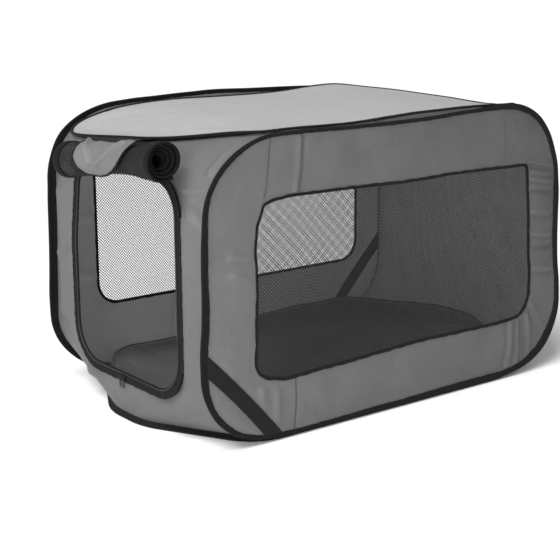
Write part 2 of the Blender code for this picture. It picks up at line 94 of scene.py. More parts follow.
def unit(vectors: Array) -> Array:
    """Vectors scaled to a length of 1."""
    return vectors / np.linalg.norm(vectors, axis=-1, keepdims=True)


def filleted(corners: Sequence[tuple[float, float]], radii: Sequence[float], steps: int) -> Array:
    """Closed outline with straight sides and a circular arc at each corner.

    Args:
        corners: The outline's corners, counter-clockwise.
        radii: The radius of the arc at each corner.
        steps: How many steps each arc is cut into.

    Returns:
        The outline's points. Each arc's centre lies on the corner's bisector, radius / sin(half angle) away.
    """
    spots = np.array(corners, float)
    radius = np.array(radii, float)[:, None]
    back, ahead = unit(np.roll(spots, 1, axis=0) - spots), unit(np.roll(spots, -1, axis=0) - spots)
    half = np.arccos((back * ahead).sum(axis=1, keepdims=True)) / 2
    centre = spots + unit(back + ahead) * radius / np.sin(half)
    arm = spots + back * radius / np.tan(half) - centre
    turn = (math.pi - 2 * half) * np.linspace(0, 1, steps + 1)
    c, s = np.cos(turn), np.sin(turn)
    x = centre[:, :1] + c * arm[:, :1] - s * arm[:, 1:]
    y = centre[:, 1:] + s * arm[:, :1] + c * arm[:, 1:]
    return np.stack([x, y], axis=-1).reshape(-1, 2)


def inset(outline: Array, distance: float | Array) -> Array:
    """Closed outline moved inward along its mitred normals by one distance, or by one for each point."""
    ahead = unit(np.roll(outline, -1, axis=0) - outline)
    behind = np.roll(ahead, 1, axis=0)
    inward = (ahead + behind)[:, ::-1] * (-1, 1) / (1 + (ahead * behind).sum(axis=1, keepdims=True))
    return outline + inward * np.reshape(distance, (-1, 1))


def run_along(curve: Array) -> Array:
    """Distance from the curve's start to each of its points."""
    steps = np.linalg.norm(np.diff(curve, axis=0), axis=1)
    return np.concatenate([[0.0], np.cumsum(steps)])


def run_round(outline: Array) -> Array:
    """Distance from a closed outline's start to each of its points, and back to the start."""
    return run_along(np.vstack([outline, outline[:1]]))


def closed_up(grid: Array) -> Array:
    """A grid with its first column again at its end."""
    return np.concatenate([grid, grid[:, :1]], axis=1)


def resampled(curve: Array, count: int, closed: bool = False) -> Array:
    """The curve's shape with its points spread evenly along it.

    Args:
        curve: The points to spread out.
        count: How many points come back.
        closed: Whether the last point joins the first, which then isn't repeated.

    Returns:
        The points, interpolated linearly over the distance along the curve.
    """
    path = np.vstack([curve, curve[:1]]) if closed else curve
    run = run_along(path)
    places = np.linspace(0, run[-1], count + 1)[:-1] if closed else np.linspace(0, run[-1], count)
    return np.column_stack([np.interp(places, run, path[:, k]) for k in range(path.shape[1])])


def spread(outline: Array, values: Sequence[float]) -> Array:
    """Values at even places round a closed outline, in millimetres, as metres at each point (a Catmull-Rom curve)."""
    run = run_round(outline)
    place = run[:-1] / run[-1] * len(values)
    first = np.floor(place).astype(int)
    f = place - first
    a, b, c, d = (np.array(values, float)[(first + k) % len(values)] for k in (-1, 0, 1, 2))
    return (b + 0.5 * f * (c - a + f * (2 * a - 5 * b + 4 * c - d + f * (3 * (b - c) + d - a)))) / 1000


def softened(outline: Array, reach: float) -> Array:
    """Closed, evenly spaced outline with its corners eased by a bell-shaped average over the neighbours."""
    offsets = np.arange(-9, 10)
    share = np.exp(-((offsets / reach) ** 2))
    return sum(np.roll(outline, k, axis=0) * w for k, w in zip(offsets, share / share.sum()))


def radius_at(outline: Array, centre: Array, angles: Array) -> Array:
    """How far a star-shaped outline lies from the centre in each direction."""
    dense = resampled(outline, 6000, closed=True) - centre
    heading = np.arctan2(dense[:, 1], dense[:, 0])
    order = np.argsort(heading)
    reach = np.linalg.norm(dense, axis=1)[order]
    return np.interp(angles, heading[order], reach, period=2 * math.pi)


@dataclass(frozen=True)
class Waves:
    """Seeded sum of sines over a surface, for the unevenness of stretched cloth."""

    seed: int
    height: float
    shortest: float
    longest: float
    count: int = 9

    def at(self, points: Array) -> Array:
        """Height at each point: sines of random heading, phase and wavelength, each as high as it is long."""
        random = np.random.default_rng(self.seed)
        lengths = np.geomspace(self.shortest, self.longest, self.count)
        heading = unit(random.normal(size=(self.count, points.shape[-1])))
        phase = random.uniform(0, 2 * math.pi, self.count)
        share = lengths / lengths.sum()
        angle = points @ (heading * (2 * math.pi / lengths[:, None])).T + phase
        return self.height * (np.sin(angle) * share).sum(axis=-1)


@dataclass(frozen=True)
class Crease:
    """One fold line in a cloth: a straight ridge, or a tuck that is high on one side and low on the other."""

    start: tuple[float, float]
    end: tuple[float, float]
    width: float
    height: float
    tuck: float = 0.0

    def at(self, points: Array) -> Array:
        """Height at each point: a bell across the line, faded at both ends, with its slope added for a tuck."""
        a, b = np.array(self.start), np.array(self.end)
        along = unit(b - a)
        across = along[::-1] * (-1, 1)
        run = (points - a) @ along
        off = (points - a) @ across / self.width
        length = np.linalg.norm(b - a)
        fade = smooth((run + self.width) / (2 * self.width)) * smooth((length - run + self.width) / (2 * self.width))
        bell = np.exp(-off * off)
        return fade * (self.height * bell + self.tuck * off * bell)


def fold_lines(points: Array, creases: Sequence[Crease]) -> Array:
    """Sum of all the creases at each point."""
    total = np.zeros(points.shape[:-1])
    for crease in creases:
        total += crease.at(points)
    return total


def creases_from(*rows: Sequence[float]) -> tuple[Crease, ...]:
    """Creases from rows of start and end in plane, width, height and tuck, all in millimetres."""
    return tuple(Crease((a, b), (c, d), *rest) for a, b, c, d, *rest in (np.array(row) / 1000 for row in rows))


@dataclass(frozen=True)
class Crate:
    """Sizes of the crate's hoops, as in the part."""

    length: float = 0.910
    width: float = 0.564
    height: float = 0.580
    side_corner_run: float = 0.175
    side_corner_drop: float = 0.143
    nose_run: float = 0.117
    shoulder_radius: float = 0.100
    nose_width: float = 0.120
    nose_radius: float = 0.160
    hoop_thickness: float = 0.0050
    tape_width_at_ends: float = 0.0140
    tape_width_on_long_edges: float = 0.0095
    gap: float = 0.0003
    cloth: float = 0.0008
    channel: float = 0.0059
    end_seam_inset: float = 0.0015
    arc_steps: int = 24
    lean: float = math.radians(52)
    bead: float = 0.0045

    @property
    def roof_level(self) -> float:
        """Height of the roof hoop's middle plane."""
        return self.height - self.hoop_thickness / 2

    @property
    def wall_plane(self) -> float:
        """Distance of a side hoop's middle plane from the crate's middle."""
        return self.width / 2 - self.hoop_thickness / 2

    @property
    def door_plane(self) -> float:
        """Where along X the front end's flat middle stands."""
        return -(self.length / 2 - self.end_seam_inset)

    def plan_outline(self) -> Array:
        """Outer edge of the floor and roof hoops, as (x, y)."""
        x, y = self.length / 2 - self.nose_run, self.width / 2 - self.hoop_thickness - self.gap
        quarter = [(self.length / 2, self.nose_width / 2), (x, y)]
        corners = quarter + [(-a, b) for a, b in quarter[::-1]]
        corners += [(-a, -b) for a, b in corners]
        radii = [self.nose_radius, self.shoulder_radius, self.shoulder_radius, self.nose_radius] * 2
        return filleted(corners, radii, self.arc_steps)

    def side_outline(self) -> Array:
        """Outer edge of the side hoops, as (x, z): straight edges and elliptical corners."""
        low = self.hoop_thickness + self.gap
        middle, half = self.height / 2, self.height / 2 - low
        x, z = self.length / 2 - self.side_corner_run, half - self.side_corner_drop
        quarter = np.repeat(np.arange(4), self.arc_steps + 1)
        turn = (quarter + np.tile(np.linspace(0, 1, self.arc_steps + 1), 4)) * math.pi / 2
        sx = np.array([1, -1, -1, 1])[quarter]
        sz = np.array([1, 1, -1, -1])[quarter]
        run, drop = self.side_corner_run * np.cos(turn), self.side_corner_drop * np.sin(turn)
        return np.column_stack([sx * x + run, middle + sz * z + drop])

    def wall_outline(self, side: int, points: int = 0) -> Array:
        """Outer edge of one side hoop as (x, z): each bulges and dips in its own way."""
        line = self.side_outline()
        if points:
            line = resampled(line, points, closed=True)
        return inset(line, -spread(line, RIGHT_REACH if side == RIGHT else LEFT_REACH))

    def along(self, outline: Array) -> Array:
        """How far each place of an outline runs along X, from 0 to 1."""
        run = np.roll(outline, -1, axis=0) - np.roll(outline, 1, axis=0)
        return (run[:, 0] / np.linalg.norm(run, axis=1)) ** 2

    def tape_width(self, outline: Array, side: int = 0) -> Array:
        """Reach of the sleeve's tape from the edge: less along the crate, more where it turns."""
        if side:
            return spread(outline, RIGHT_BAND if side == RIGHT else LEFT_BAND)
        return self.tape_width_at_ends + (self.tape_width_on_long_edges - self.tape_width_at_ends) * self.along(outline)

    def leaned(self, outline: Array, reach: Array) -> tuple[Array, Array]:
        """How a level hoop's tape leans towards the end walls past its bead.

        Args:
            outline: The hoop's outline, as (x, y).
            reach: Distance from the edge, which is cut into the part within the bead and the part beyond it.

        Returns:
            The level distance from the edge, and the distance towards the middle of the crate's height.
        """
        angle = self.lean * smooth((1 - self.along(outline)) / 0.5)
        beyond = np.clip(reach - self.bead, 0, None)
        return reach - beyond * (1 - np.cos(angle)), beyond * np.sin(angle)


@dataclass(frozen=True)
class Stance:
    """How the roof's sprung hoop stands: it hangs at both noses and is pulled aside."""

    start: float = 0.500
    top: float = 0.5747
    blur: float = 0.035

    @cached_property
    def pulls(self) -> tuple[Array, Array]:
        """The roof's measured places and the weights of a multiquadric curve through their moves."""
        sags = np.insert(np.array(ROOF_SAGS, float), (2, 2), 0.0, axis=1)
        table = np.vstack([ROOF_MOVES, sags]) / 1000
        gaps = np.linalg.norm(table[:, None, :2] - table[None, :, :2], axis=-1)
        return table[:, :2], np.linalg.solve(np.sqrt(gaps**2 + self.blur**2), table[:, 2:])

    def share(self, points: Array) -> Array:
        """How much a place follows the upper hoops, from its height."""
        return smooth((points[..., 2] - self.start) / (self.top - self.start))[..., None]

    def roof_move(self, points: Array) -> Array:
        """Sum over the measured places of weight times sqrt(distance^2 + blur^2), in plan."""
        places, weights = self.pulls
        gaps = np.linalg.norm(points[..., None, :2] - places, axis=-1)
        return np.sqrt(gaps**2 + self.blur**2) @ weights

    def roof(self, points: Array) -> Array:
        """Moves places of the roof hoop and its cloth from the even outline to the real stance."""
        return points + self.share(points) * self.roof_move(points)

    def wall(self, points: Array) -> Array:
        """Moves places of an end wall, which follow the roof hoop near it and stay where a side hoop is nearer."""
        below = np.clip(CRATE.roof_level - points[..., 2:], 0, None)
        beside = np.clip(CRATE.wall_plane - np.abs(points[..., 1:2]), 0, None)
        near_roof = smooth(beside / (beside + below + 1e-6))
        return points + self.share(points) * near_roof * self.roof_move(points)


CRATE = Crate()
STANCE = Stance()


Placing = Callable[[Array, "float | Array"], Array]


def square_to(axis: int, origin: float, outward: int) -> Placing:
    """Makes the function that sets plane points in space.

    Args:
        axis: The axis that the plane is square to.
        origin: Where the plane cuts that axis.
        outward: The sense along the axis in which depth is counted.

    Returns:
        A function of plane points and their depths: the third coordinate is origin + outward * depth.
    """
    def place(plane: Array, depth: float | Array) -> Array:
        coordinates = [plane[..., 0], plane[..., 1]]
        coordinates.insert(axis, np.broadcast_to(origin + outward * np.asarray(depth), plane.shape[:-1]))
        return np.stack(coordinates, axis=-1)

    return place


def level(z: float, up: int) -> Placing:
    """Places an (x, y) outline at a height, its depth counted upward for the roof and downward for the floor."""
    return square_to(2, z, up)


def upright(side: int) -> Placing:
    """Places an (x, z) outline in the middle plane of a side hoop, its depth counted outward."""
    return square_to(1, side * CRATE.wall_plane, side)


def across_end(end: int) -> Placing:
    """Places a (y, z) outline on an end's flat middle, its depth counted outward."""
    return square_to(0, -end * CRATE.door_plane, end)


def round_uv(run: Array, v: Array) -> Array:
    """UVs of a sweep: u is the run along each row, and v is one value for each row."""
    return np.stack(np.broadcast_arrays(run[None, :], v[:, None]), axis=-1)


def grid_faces(rows: int, columns: int, loop_rows: bool = False, loop_columns: bool = False) -> Array:
    """Quads of a grid, each corner as (row, column), which may run one past the end where the grid closes."""
    r, c = np.meshgrid(np.arange(rows - (not loop_rows)), np.arange(columns - (not loop_columns)), indexing="ij")
    corners = [(r, c), (r, c + 1), (r + 1, c + 1), (r + 1, c)]
    return np.stack([np.stack(pair, axis=-1) for pair in corners], axis=2).reshape(-1, 4, 2)


class Surface:
    """A mesh in the making: points, faces, and a UV for each face corner."""

    def __init__(self) -> None:
        self.points: list[Array] = []
        self.faces: list[Array] = []
        self.uvs: list[Array] = []
        self.count = 0

    def add_grid(
        self, grid: Array, uv: Array, loop_rows: bool = False, loop_columns: bool = False, keep: Array | None = None,
        flip: bool = False,
    ) -> "Surface":
        """Adds a grid of quads.

        Args:
            grid: Points by row and column.
            uv: UVs by row and column, one row or column longer where the grid closes on itself.
            loop_rows: Whether the last row joins the first.
            loop_columns: Whether the last column joins the first.
            keep: Which quads stay, by row and column, or all of them.
            flip: Whether the faces are turned round.

        Returns:
            The surface itself.
        """
        rows, columns = grid.shape[:2]
        corners = grid_faces(rows, columns, loop_rows, loop_columns)
        if keep is not None:
            corners = corners[keep.reshape(-1)]
        if flip:
            corners = corners[:, ::-1]
        index = (corners[..., 0] % rows) * columns + corners[..., 1] % columns
        self.points.append(grid.reshape(-1, 3))
        self.faces.append(index + self.count)
        self.uvs.append(uv[corners[..., 0], corners[..., 1]].reshape(-1, 2))
        self.count += rows * columns
        return self

    def make(self, name: str, merge: float = 0.0, outward: bool = False) -> Object:
        """Turns the surface into an object at the origin.

        Args:
            name: The object's name.
            merge: How near two points are that become one.
            outward: Whether the faces of a closed shape are turned outward.

        Returns:
            The object, smooth shaded, with its loose points removed.
        """
        mesh = bpy.data.meshes.new(name)
        faces = np.vstack(self.faces)
        mesh.from_pydata(np.vstack(self.points), [], faces.tolist())
        layer = mesh.uv_layers.new(name="metres")
        layer.data.foreach_set("uv", np.vstack(self.uvs).astype(np.float32).ravel())
        work = bmesh.new()
        work.from_mesh(mesh)
        if merge:
            bmesh.ops.remove_doubles(work, verts=work.verts, dist=merge)
        bmesh.ops.delete(work, geom=[v for v in work.verts if not v.link_faces], context="VERTS")
        if outward:
            bmesh.ops.recalc_face_normals(work, faces=work.faces)
        work.to_mesh(mesh)
        work.free()
        mesh.shade_smooth()
        return linked(name, mesh)


def linked(name: str, data: ID) -> Object:
    """A new object in the scene."""
    obj = bpy.data.objects.new(name, data)
    bpy.context.scene.collection.objects.link(obj)
    return obj


def walled(obj: Object, thickness: float, offset: float = 0.0) -> Object:
    """Gives a one-layer sheet its thickness with a live Solidify."""
    wall = obj.modifiers.new("cloth thickness", "SOLIDIFY")
    wall.thickness = thickness
    wall.offset = offset
    return obj


def area_of(grid: Array, keep: Array | None = None) -> float:
    """Area of a grid of quads: half the cross product of the diagonals, summed."""
    one, two = grid[1:, 1:] - grid[:-1, :-1], grid[1:, :-1] - grid[:-1, 1:]
    cells = np.linalg.norm(np.cross(one, two), axis=-1) / 2
    return float(cells.sum() if keep is None else cells[keep].sum())


Value = "Signal | float"


class Signal:
    """A shader socket that adds Math nodes where it is used in an expression."""

    def __init__(self, graph: "Graph", socket: NodeSocket) -> None:
        self.graph, self.socket = graph, socket

    def math(self, operation: str, *others: Value) -> "Signal":
        """One Math node with this signal first."""
        return self.graph.math(operation, self, *others)

    def __add__(self, other: Value) -> "Signal":
        return self.math("ADD", other)

    __radd__ = __add__

    def __sub__(self, other: Value) -> "Signal":
        return self.math("SUBTRACT", other)

    def __rsub__(self, other: Value) -> "Signal":
        return self.graph.math("SUBTRACT", other, self)

    def __mul__(self, other: Value) -> "Signal":
        return self.math("MULTIPLY", other)

    __rmul__ = __mul__

    def __truediv__(self, other: Value) -> "Signal":
        return self.math("DIVIDE", other)

    def __gt__(self, other: Value) -> "Signal":
        return self.math("GREATER_THAN", other)

    def __lt__(self, other: Value) -> "Signal":
        return self.math("LESS_THAN", other)

    def __abs__(self) -> "Signal":
        return self.math("ABSOLUTE")

    def wave(self, length: float) -> "Signal":
        """Sine of the signal with this wavelength."""
        return (self * (2 * math.pi / length)).math("SINE")

    def cell(self, pitch: float) -> "Signal":
        """Place inside a repeat of this pitch, from -0.5 to 0.5."""
        return (self / pitch).math("FRACT") - 0.5

    def larger(self, other: Value) -> "Signal":
        """The larger of the two."""
        return self.math("MAXIMUM", other)

    def smaller(self, other: Value) -> "Signal":
        """The smaller of the two."""
        return self.math("MINIMUM", other)


class Graph:
    """A material's node tree, in which every node comes from one method."""

    def __init__(self, name: str) -> None:
        self.material = bpy.data.materials.new(name)
        self.material.use_nodes = True
        self.tree = self.material.node_tree
        self.tree.nodes.clear()
        self.shader = self.node("ShaderNodeBsdfPrincipled")
        self.output = self.node("ShaderNodeOutputMaterial", sockets={"Surface": self.shader.outputs["BSDF"]})
        place = self.node("ShaderNodeTexCoord")
        self.object = place.outputs["Object"]
        parts = self.node("ShaderNodeSeparateXYZ", sockets={0: place.outputs["UV"]})
        self.uv = place.outputs["UV"]
        self.u, self.v = Signal(self, parts.outputs[0]), Signal(self, parts.outputs[1])

    def node(self, kind: str, settings: dict | None = None, sockets: dict | None = None) -> Node:
        """Adds one node.

        Args:
            kind: The node's type.
            settings: The node's own settings, with a ramp's stops as (place, colour) pairs under "stops".
            sockets: The value or link of each input, by name or index.

        Returns:
            The node.
        """
        made = self.tree.nodes.new(kind)
        for key, value in (settings or {}).items():
            if key == "stops":
                ramp = made.color_ramp
                while len(ramp.elements) < len(value):
                    ramp.elements.new(1.0)
                for element, (place, colour) in zip(ramp.elements, value):
                    element.position, element.color = place, colour
            else:
                setattr(made, key, value)
        self.join(made, sockets or {})
        return made

    def join(self, node: Node, sockets: dict) -> None:
        """Links or sets each of a node's inputs."""
        for key, value in sockets.items():
            value = value.socket if isinstance(value, Signal) else value
            if isinstance(value, NodeSocket):
                self.tree.links.new(value, node.inputs[key])
            else:
                node.inputs[key].default_value = value

    def math(self, operation: str, *values: Value) -> Signal:
        """One Math node on up to three values."""
        made = self.node("ShaderNodeMath", {"operation": operation}, dict(enumerate(values)))
        return Signal(self, made.outputs[0])

    def noise(self, size: float, detail: float = 3.0, on: NodeSocket | None = None) -> Signal:
        """Noise from 0 to 1 whose lumps are this many metres across."""
        sockets = {"Vector": on or self.object, "Scale": 1 / size, "Detail": detail}
        return Signal(self, self.node("ShaderNodeTexNoise", {}, sockets).outputs["Fac"])

    def mixed(self, share: Value, first: Sequence[float], second: Sequence[float]) -> NodeSocket:
        """Colour between two colours."""
        sockets = {0: share, 6: (*first, 1.0), 7: (*second, 1.0)}
        return self.node("ShaderNodeMix", {"data_type": "RGBA"}, sockets).outputs[2]

    def finish(
        self, colour: NodeSocket, roughness: Value, height: Signal | None = None, depth: float = 0.0,
        constants: dict[str, float] | None = None, alpha: Signal | None = None, through: Sequence[float] = (),
    ) -> Material:
        """Joins the looks to the shader.

        Args:
            colour: The base colour.
            roughness: The roughness.
            height: The bump's height, from 0 to about 1.
            depth: How many metres a height of 1 is.
            constants: Values of the shader's other sockets.
            alpha: Where the surface is there.
            through: The share of the light that comes from behind, and its colour.

        Returns:
            The material.
        """
        sockets = {"Base Color": colour, "Roughness": roughness, **(constants or {})}
        if height is not None:
            bump = self.node("ShaderNodeBump", {}, {"Height": height, "Distance": depth, "Strength": 1.0})
            sockets["Normal"] = bump.outputs[0]
        if alpha is not None:
            sockets["Alpha"] = alpha
        self.join(self.shader, sockets)
        if through:
            behind = self.node("ShaderNodeBsdfTranslucent", {}, {"Color": (*through[1:], 1.0)}).outputs[0]
            both = self.node("ShaderNodeMixShader", {}, {0: through[0], 1: self.shader.outputs["BSDF"], 2: behind})
            self.join(self.output, {"Surface": both.outputs[0]})
        return self.material


Colour = tuple[float, float, float]


def toned(colour: Colour, share: float, more: float = 0.0) -> Colour:
    """The colour times a share, and a little more."""
    return tuple(share * c + more for c in colour)


@dataclass(frozen=True)
class ClothFinish:
    """Woven polyester: fine plain weave, faint streaks along the threads and a soft mottling."""

    name: str
    tone: Colour
    shade: Colour
    roughness: float
    thread: float = 0.0009
    depth: float = 0.00009
    sheen: float = 0.10
    through: float = 0.42
    veil: float = 0.80
    # The next two fields paint shade into the tone, as a slope along u and one in v about a level; the last two draw a
    # dark line of painted shade along each seam and tuck.
    fade: tuple[float, float] = (0.0, 0.0)
    painted_shade_level: float = 0.29
    seam_shade_width: float = 0.0022
    seams_with_painted_shade: tuple[tuple[float, float, float, float], ...] = ()

    def material(self) -> Material:
        """Threads are sines of u and v in turn, the tone drifts with two sizes of noise, and a seam is a dark line of
        painted shade with a groove in the bump. The falloff paints shade too: the tone slopes along u, and in v about a
        level.

        A seam's four numbers are u at its foot, its slant in u over v, and the v of its foot and head.
        """
        g = Graph(self.name)
        over = (g.u + g.v).wave(self.thread * 2) * 0.5 + 0.5
        weave = (g.u.wave(self.thread) * over + g.v.wave(self.thread) * (1 - over)) * 0.5 + 0.5
        drift = g.noise(0.060, 4) * 0.6 + g.noise(0.009, 2) * 0.4
        streak_place = g.node("ShaderNodeMapping", {}, {"Vector": g.uv, "Scale": (1.0, 0.04, 1.0)}).outputs[0]
        streak = g.noise(0.0015, 1, streak_place)
        seam_groove_and_painted_shade = weave * 0
        # Each seam and tuck is a dark line of painted shade in the colour, and a groove in the bump.
        for foot, slant, low, high in self.seams_with_painted_shade:
            off = abs(g.u - foot - (g.v - low) * slant) / self.seam_shade_width
            seam_groove_and_painted_shade = (1 - off).larger(0.0) * (g.v > low) * (g.v < high) + seam_groove_and_painted_shade
        # Painted shade: the tone slopes along u, and in v about a level, so the right wall darkens towards its rear end
        # and top.
        wear_and_painted_shade = g.u * self.fade[0] + (g.v - self.painted_shade_level) * self.fade[1]
        share = (drift * 0.9 + streak * 0.35 + weave * 0.25 - 0.28 - seam_groove_and_painted_shade * 2.2).math("ADD", wear_and_painted_shade)
        share.socket.node.use_clamp = True
        colour = g.mixed(share, self.shade, self.tone)
        rough = self.roughness + 0.10 * (g.noise(0.020) - 0.5) - 0.05 * weave
        return g.finish(colour, rough, weave * 0.7 + streak * 0.5 - seam_groove_and_painted_shade * 6, self.depth,
                        {"Sheen Weight": self.sheen, "Sheen Roughness": 0.45, "Specular IOR Level": 0.45},
                        through=(self.through, *(self.veil,) * 3))


@dataclass(frozen=True)
class TapeFinish:
    """Woven binding tape: fine ribs across it, and a row of stitches a little way in from each edge."""

    name: str
    tone: Colour
    edge: float
    rib: float = 0.0011
    stitch_inset: float = 0.0022
    stitch_length: float = 0.0034
    stitch_width: float = 0.0007
    depth: float = 0.00014

    def material(self) -> Material:
        """v is counted from the middle of the tape, so a stitch lies where |v| is the edge less its inset."""
        g = Graph(self.name)
        rib = g.u.wave(self.rib) * 0.5 + 0.5
        fine = g.v.wave(self.rib * 0.7) * 0.5 + 0.5
        off = abs(abs(g.v) - (self.edge - self.stitch_inset)) / self.stitch_width
        line = (1 - off).larger(0.0)
        dash = (0.38 - abs(g.u.cell(self.stitch_length))).larger(0.0).math("MULTIPLY", 8.0).smaller(1.0)
        stitch = line * dash
        groove = (1.6 - off).larger(0.0).smaller(1.0)
        wear_and_painted_shade = g.noise(0.012, 3)
        share = (wear_and_painted_shade * 0.5 + rib * 0.25 + stitch * 0.9).smaller(1.0)
        colour = g.mixed(share, toned(self.tone, 0.55), toned(self.tone, 1.7, 0.002))
        height = rib * 0.45 + fine * 0.2 + stitch * 1.6 - groove * 0.9
        return g.finish(colour, 0.82 - 0.22 * stitch + 0.08 * wear_and_painted_shade, height, self.depth,
                        {"Sheen Weight": 0.03, "Sheen Roughness": 0.4, "Specular IOR Level": 0.14})


@dataclass(frozen=True)
class WebbingFinish:
    """Flat strap webbing: herringbone ribs along it, a plain selvedge, and a row of stitches across it near each end.
    """

    name: str
    tone: Colour
    half: float
    length: float
    depth: float = 0.0003

    def material(self) -> Material:
        """The rib's phase moves with |v| for the herringbone; a stitch row is a dashed line across it near each end."""
        g = Graph(self.name)
        slant = abs(g.v.cell(0.0090)) * 0.009
        rib = (g.u + slant).wave(0.0021) * 0.5 + 0.5
        cord = g.v.wave(0.0022) * 0.5 + 0.5
        selvedge = abs(g.v) > self.half - 0.0016
        end = g.u.smaller(self.length - g.u)
        row = (1 - abs(end - 0.010) / 0.0008).larger(0.0)
        dash = (0.40 - abs(g.v.cell(0.0036))).larger(0.0).math("MULTIPLY", 8.0).smaller(1.0)
        stitch = row * dash
        share = (rib * 0.35 + cord * 0.25 + g.noise(0.010) * 0.35 + stitch * 0.8).smaller(1.0)
        colour = g.mixed(share, toned(self.tone, 0.5), toned(self.tone, 2.0, 0.004))
        height = (rib * 0.6 + cord * 0.5) * (1 - 0.7 * selvedge) + stitch * 1.1
        return g.finish(colour, 0.66 + 0.12 * cord, height, self.depth,
                        {"Sheen Weight": 0.03, "Specular IOR Level": 0.15})


@dataclass(frozen=True)
class NetFinish:
    """Knitted net: threads on both diagonals with a knot at each crossing, and air between them."""

    name: str
    tone: Colour
    pitch: float
    strand: float
    knot: float = 1.55
    backing: float = 0.0
    bare_from: float = 9.0

    def material(self) -> Material:
        """A diagonal repeats every pitch; a thread is where the place in it is within half a strand of the middle."""
        g = Graph(self.name)
        root = math.sqrt(0.5)
        one = abs(((g.u + g.v) * root).cell(self.pitch)) * self.pitch
        two = abs(((g.u - g.v) * root).cell(self.pitch)) * self.pitch
        half = self.strand / 2
        near = one.smaller(two)
        spread = (one * one + two * two).math("SQRT")
        thread = near < half
        knot = spread < half * self.knot
        there = thread.larger(knot)
        if self.backing:
            there = there.larger((g.noise(0.0011, 1) < self.backing) * (g.v < self.bare_from))
        crown = (1 - near / half).larger(0.0)
        # Painted highlight: each strand's colour is lighter along its crown than at its sides.
        share = (crown * 0.6 + g.noise(0.03) * 0.4).smaller(1.0)
        colour = g.mixed(share, toned(self.tone, 0.6), toned(self.tone, 1.7))
        return g.finish(colour, 0.72 + 0.10 * crown, crown, 0.0004, {"Specular IOR Level": 0.3}, there)


@dataclass(frozen=True)
class MatFinish:
    """Dark mat cover: twill with raised dots in rows."""

    name: str
    tone: Colour
    dot_pitch: float = 0.0065

    def material(self) -> Material:
        """Dots sit in the middle of each cell of u and v, every other row shifted by half a cell."""
        g = Graph(self.name)
        twill = (g.u + g.v).wave(0.0016) * 0.5 + 0.5
        row = (g.v / self.dot_pitch).math("FLOOR") * 0.5
        a = (g.u / self.dot_pitch + row).math("FRACT") - 0.5
        b = g.v.cell(self.dot_pitch)
        dot = (1 - (a * a + b * b).math("SQRT") / 0.27).larger(0.0)
        share = (g.noise(0.045, 4) * 0.5 + twill * 0.25 + dot * 0.7).smaller(1.0)
        colour = g.mixed(share, toned(self.tone, 0.6), toned(self.tone, 2.1))
        return g.finish(colour, 0.86 - 0.15 * dot, twill * 0.2 + dot, 0.0005,
                        {"Sheen Weight": 0.2, "Sheen Roughness": 0.5})


@dataclass(frozen=True)
class MetalFinish:
    """Drawn or cast metal: streaks, small pits and wear."""

    name: str
    tone: Colour
    roughness: float
    metallic: float = 1.0

    def material(self) -> Material:
        """Streaks are noise stretched along X, and wear lightens the tone with a coarser noise."""
        g = Graph(self.name)
        drawn = g.node("ShaderNodeMapping", {}, {"Vector": g.object, "Scale": (0.06, 1.0, 1.0)}).outputs[0]
        streak = g.noise(0.0007, 2, drawn)
        wear = g.noise(0.006, 4)
        colour = g.mixed(wear * 0.7 + streak * 0.3, toned(self.tone, 0.7), toned(self.tone, 1.25))
        return g.finish(colour, self.roughness + 0.18 * wear - 0.05 * streak, streak * 0.5 + wear * 0.5, 0.00006,
                        {"Metallic": self.metallic})


class Finishes:
    """All of the crate's materials."""

    def __init__(self) -> None:
        black = (0.0082, 0.0082, 0.0088)
        grey = (0.186, 0.1872, 0.188), (0.122, 0.123, 0.124), 0.52
        self.grey = ClothFinish("grey woven cloth", *grey).material()
        # The side walls' cloths carry painted shade along their seams and tucks. The right one also has a darker shade
        # colour and a painted shade that darkens it towards the rear end and towards the top.
        self.right = ClothFinish("right wall cloth", (0.222, 0.2232, 0.224), (0.070, 0.071, 0.072), 0.52,
                                 seams_with_painted_shade=RIGHT_SEAMS_WITH_PAINTED_SHADE, fade=(-0.50, -0.55)).material()
        self.left = ClothFinish("left wall cloth", *grey, seams_with_painted_shade=LEFT_SEAMS_WITH_PAINTED_SHADE).material()
        self.light = ClothFinish("light woven cloth", (0.605, 0.607, 0.608), (0.530, 0.532, 0.533), 0.60).material()
        self.flap = ClothFinish("flap woven cloth", (0.265, 0.267, 0.268), (0.165, 0.167, 0.168), 0.50).material()
        # Black hem for the flap's hinge strip; its black also paints the shadow under the roof hoop.
        self.hem_and_painted_shadow = TapeFinish("hem tape", black, 0.30).material()
        self.sleeve = TapeFinish("sleeve tape", black, 0.0152).material()
        self.edging = TapeFinish("window tape", black, 0.0062).material()
        self.zip_tape = TapeFinish("zip tape", (0.0060, 0.0060, 0.0065), 0.0210).material()
        self.roll_tape = TapeFinish("door edge tape", (0.0045, 0.0045, 0.0050), 0.0180).material()
        self.webbing = WebbingFinish("strap webbing", (0.0062, 0.0062, 0.0068), 0.0142, 0.15).material()
        self.net = NetFinish("window net", (0.024, 0.024, 0.025), 0.0044, 0.00128).material()
        self.roll_net = NetFinish("door net", (0.011, 0.011, 0.012), 0.0029, 0.0010, backing=0.42,
                                  bare_from=0.085).material()
        self.mat = MatFinish("mat cover", (0.0060, 0.0060, 0.0064)).material()
        self.steel = MetalFinish("spring steel", (0.45, 0.46, 0.48), 0.30).material()
        self.zip_metal = MetalFinish("painted zip metal", (0.05, 0.05, 0.055), 0.34).material()
        self.coil = MetalFinish("zip coil", (0.020, 0.020, 0.022), 0.45, 0.0).material()


def dressed(obj: Object, material: Material, slot: Slot) -> Object:
    """Gives a piece its material, and reports it."""
    obj.data.materials.clear()
    obj.data.materials.append(material)
    log.info("%s: %d faces", obj.name, len(obj.data.polygons))
    return obj


def polished(node: str, material: Material) -> None:
    """Gives a CAD node that stays a better material."""
    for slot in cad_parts[node].material_slots:
        slot.material = material


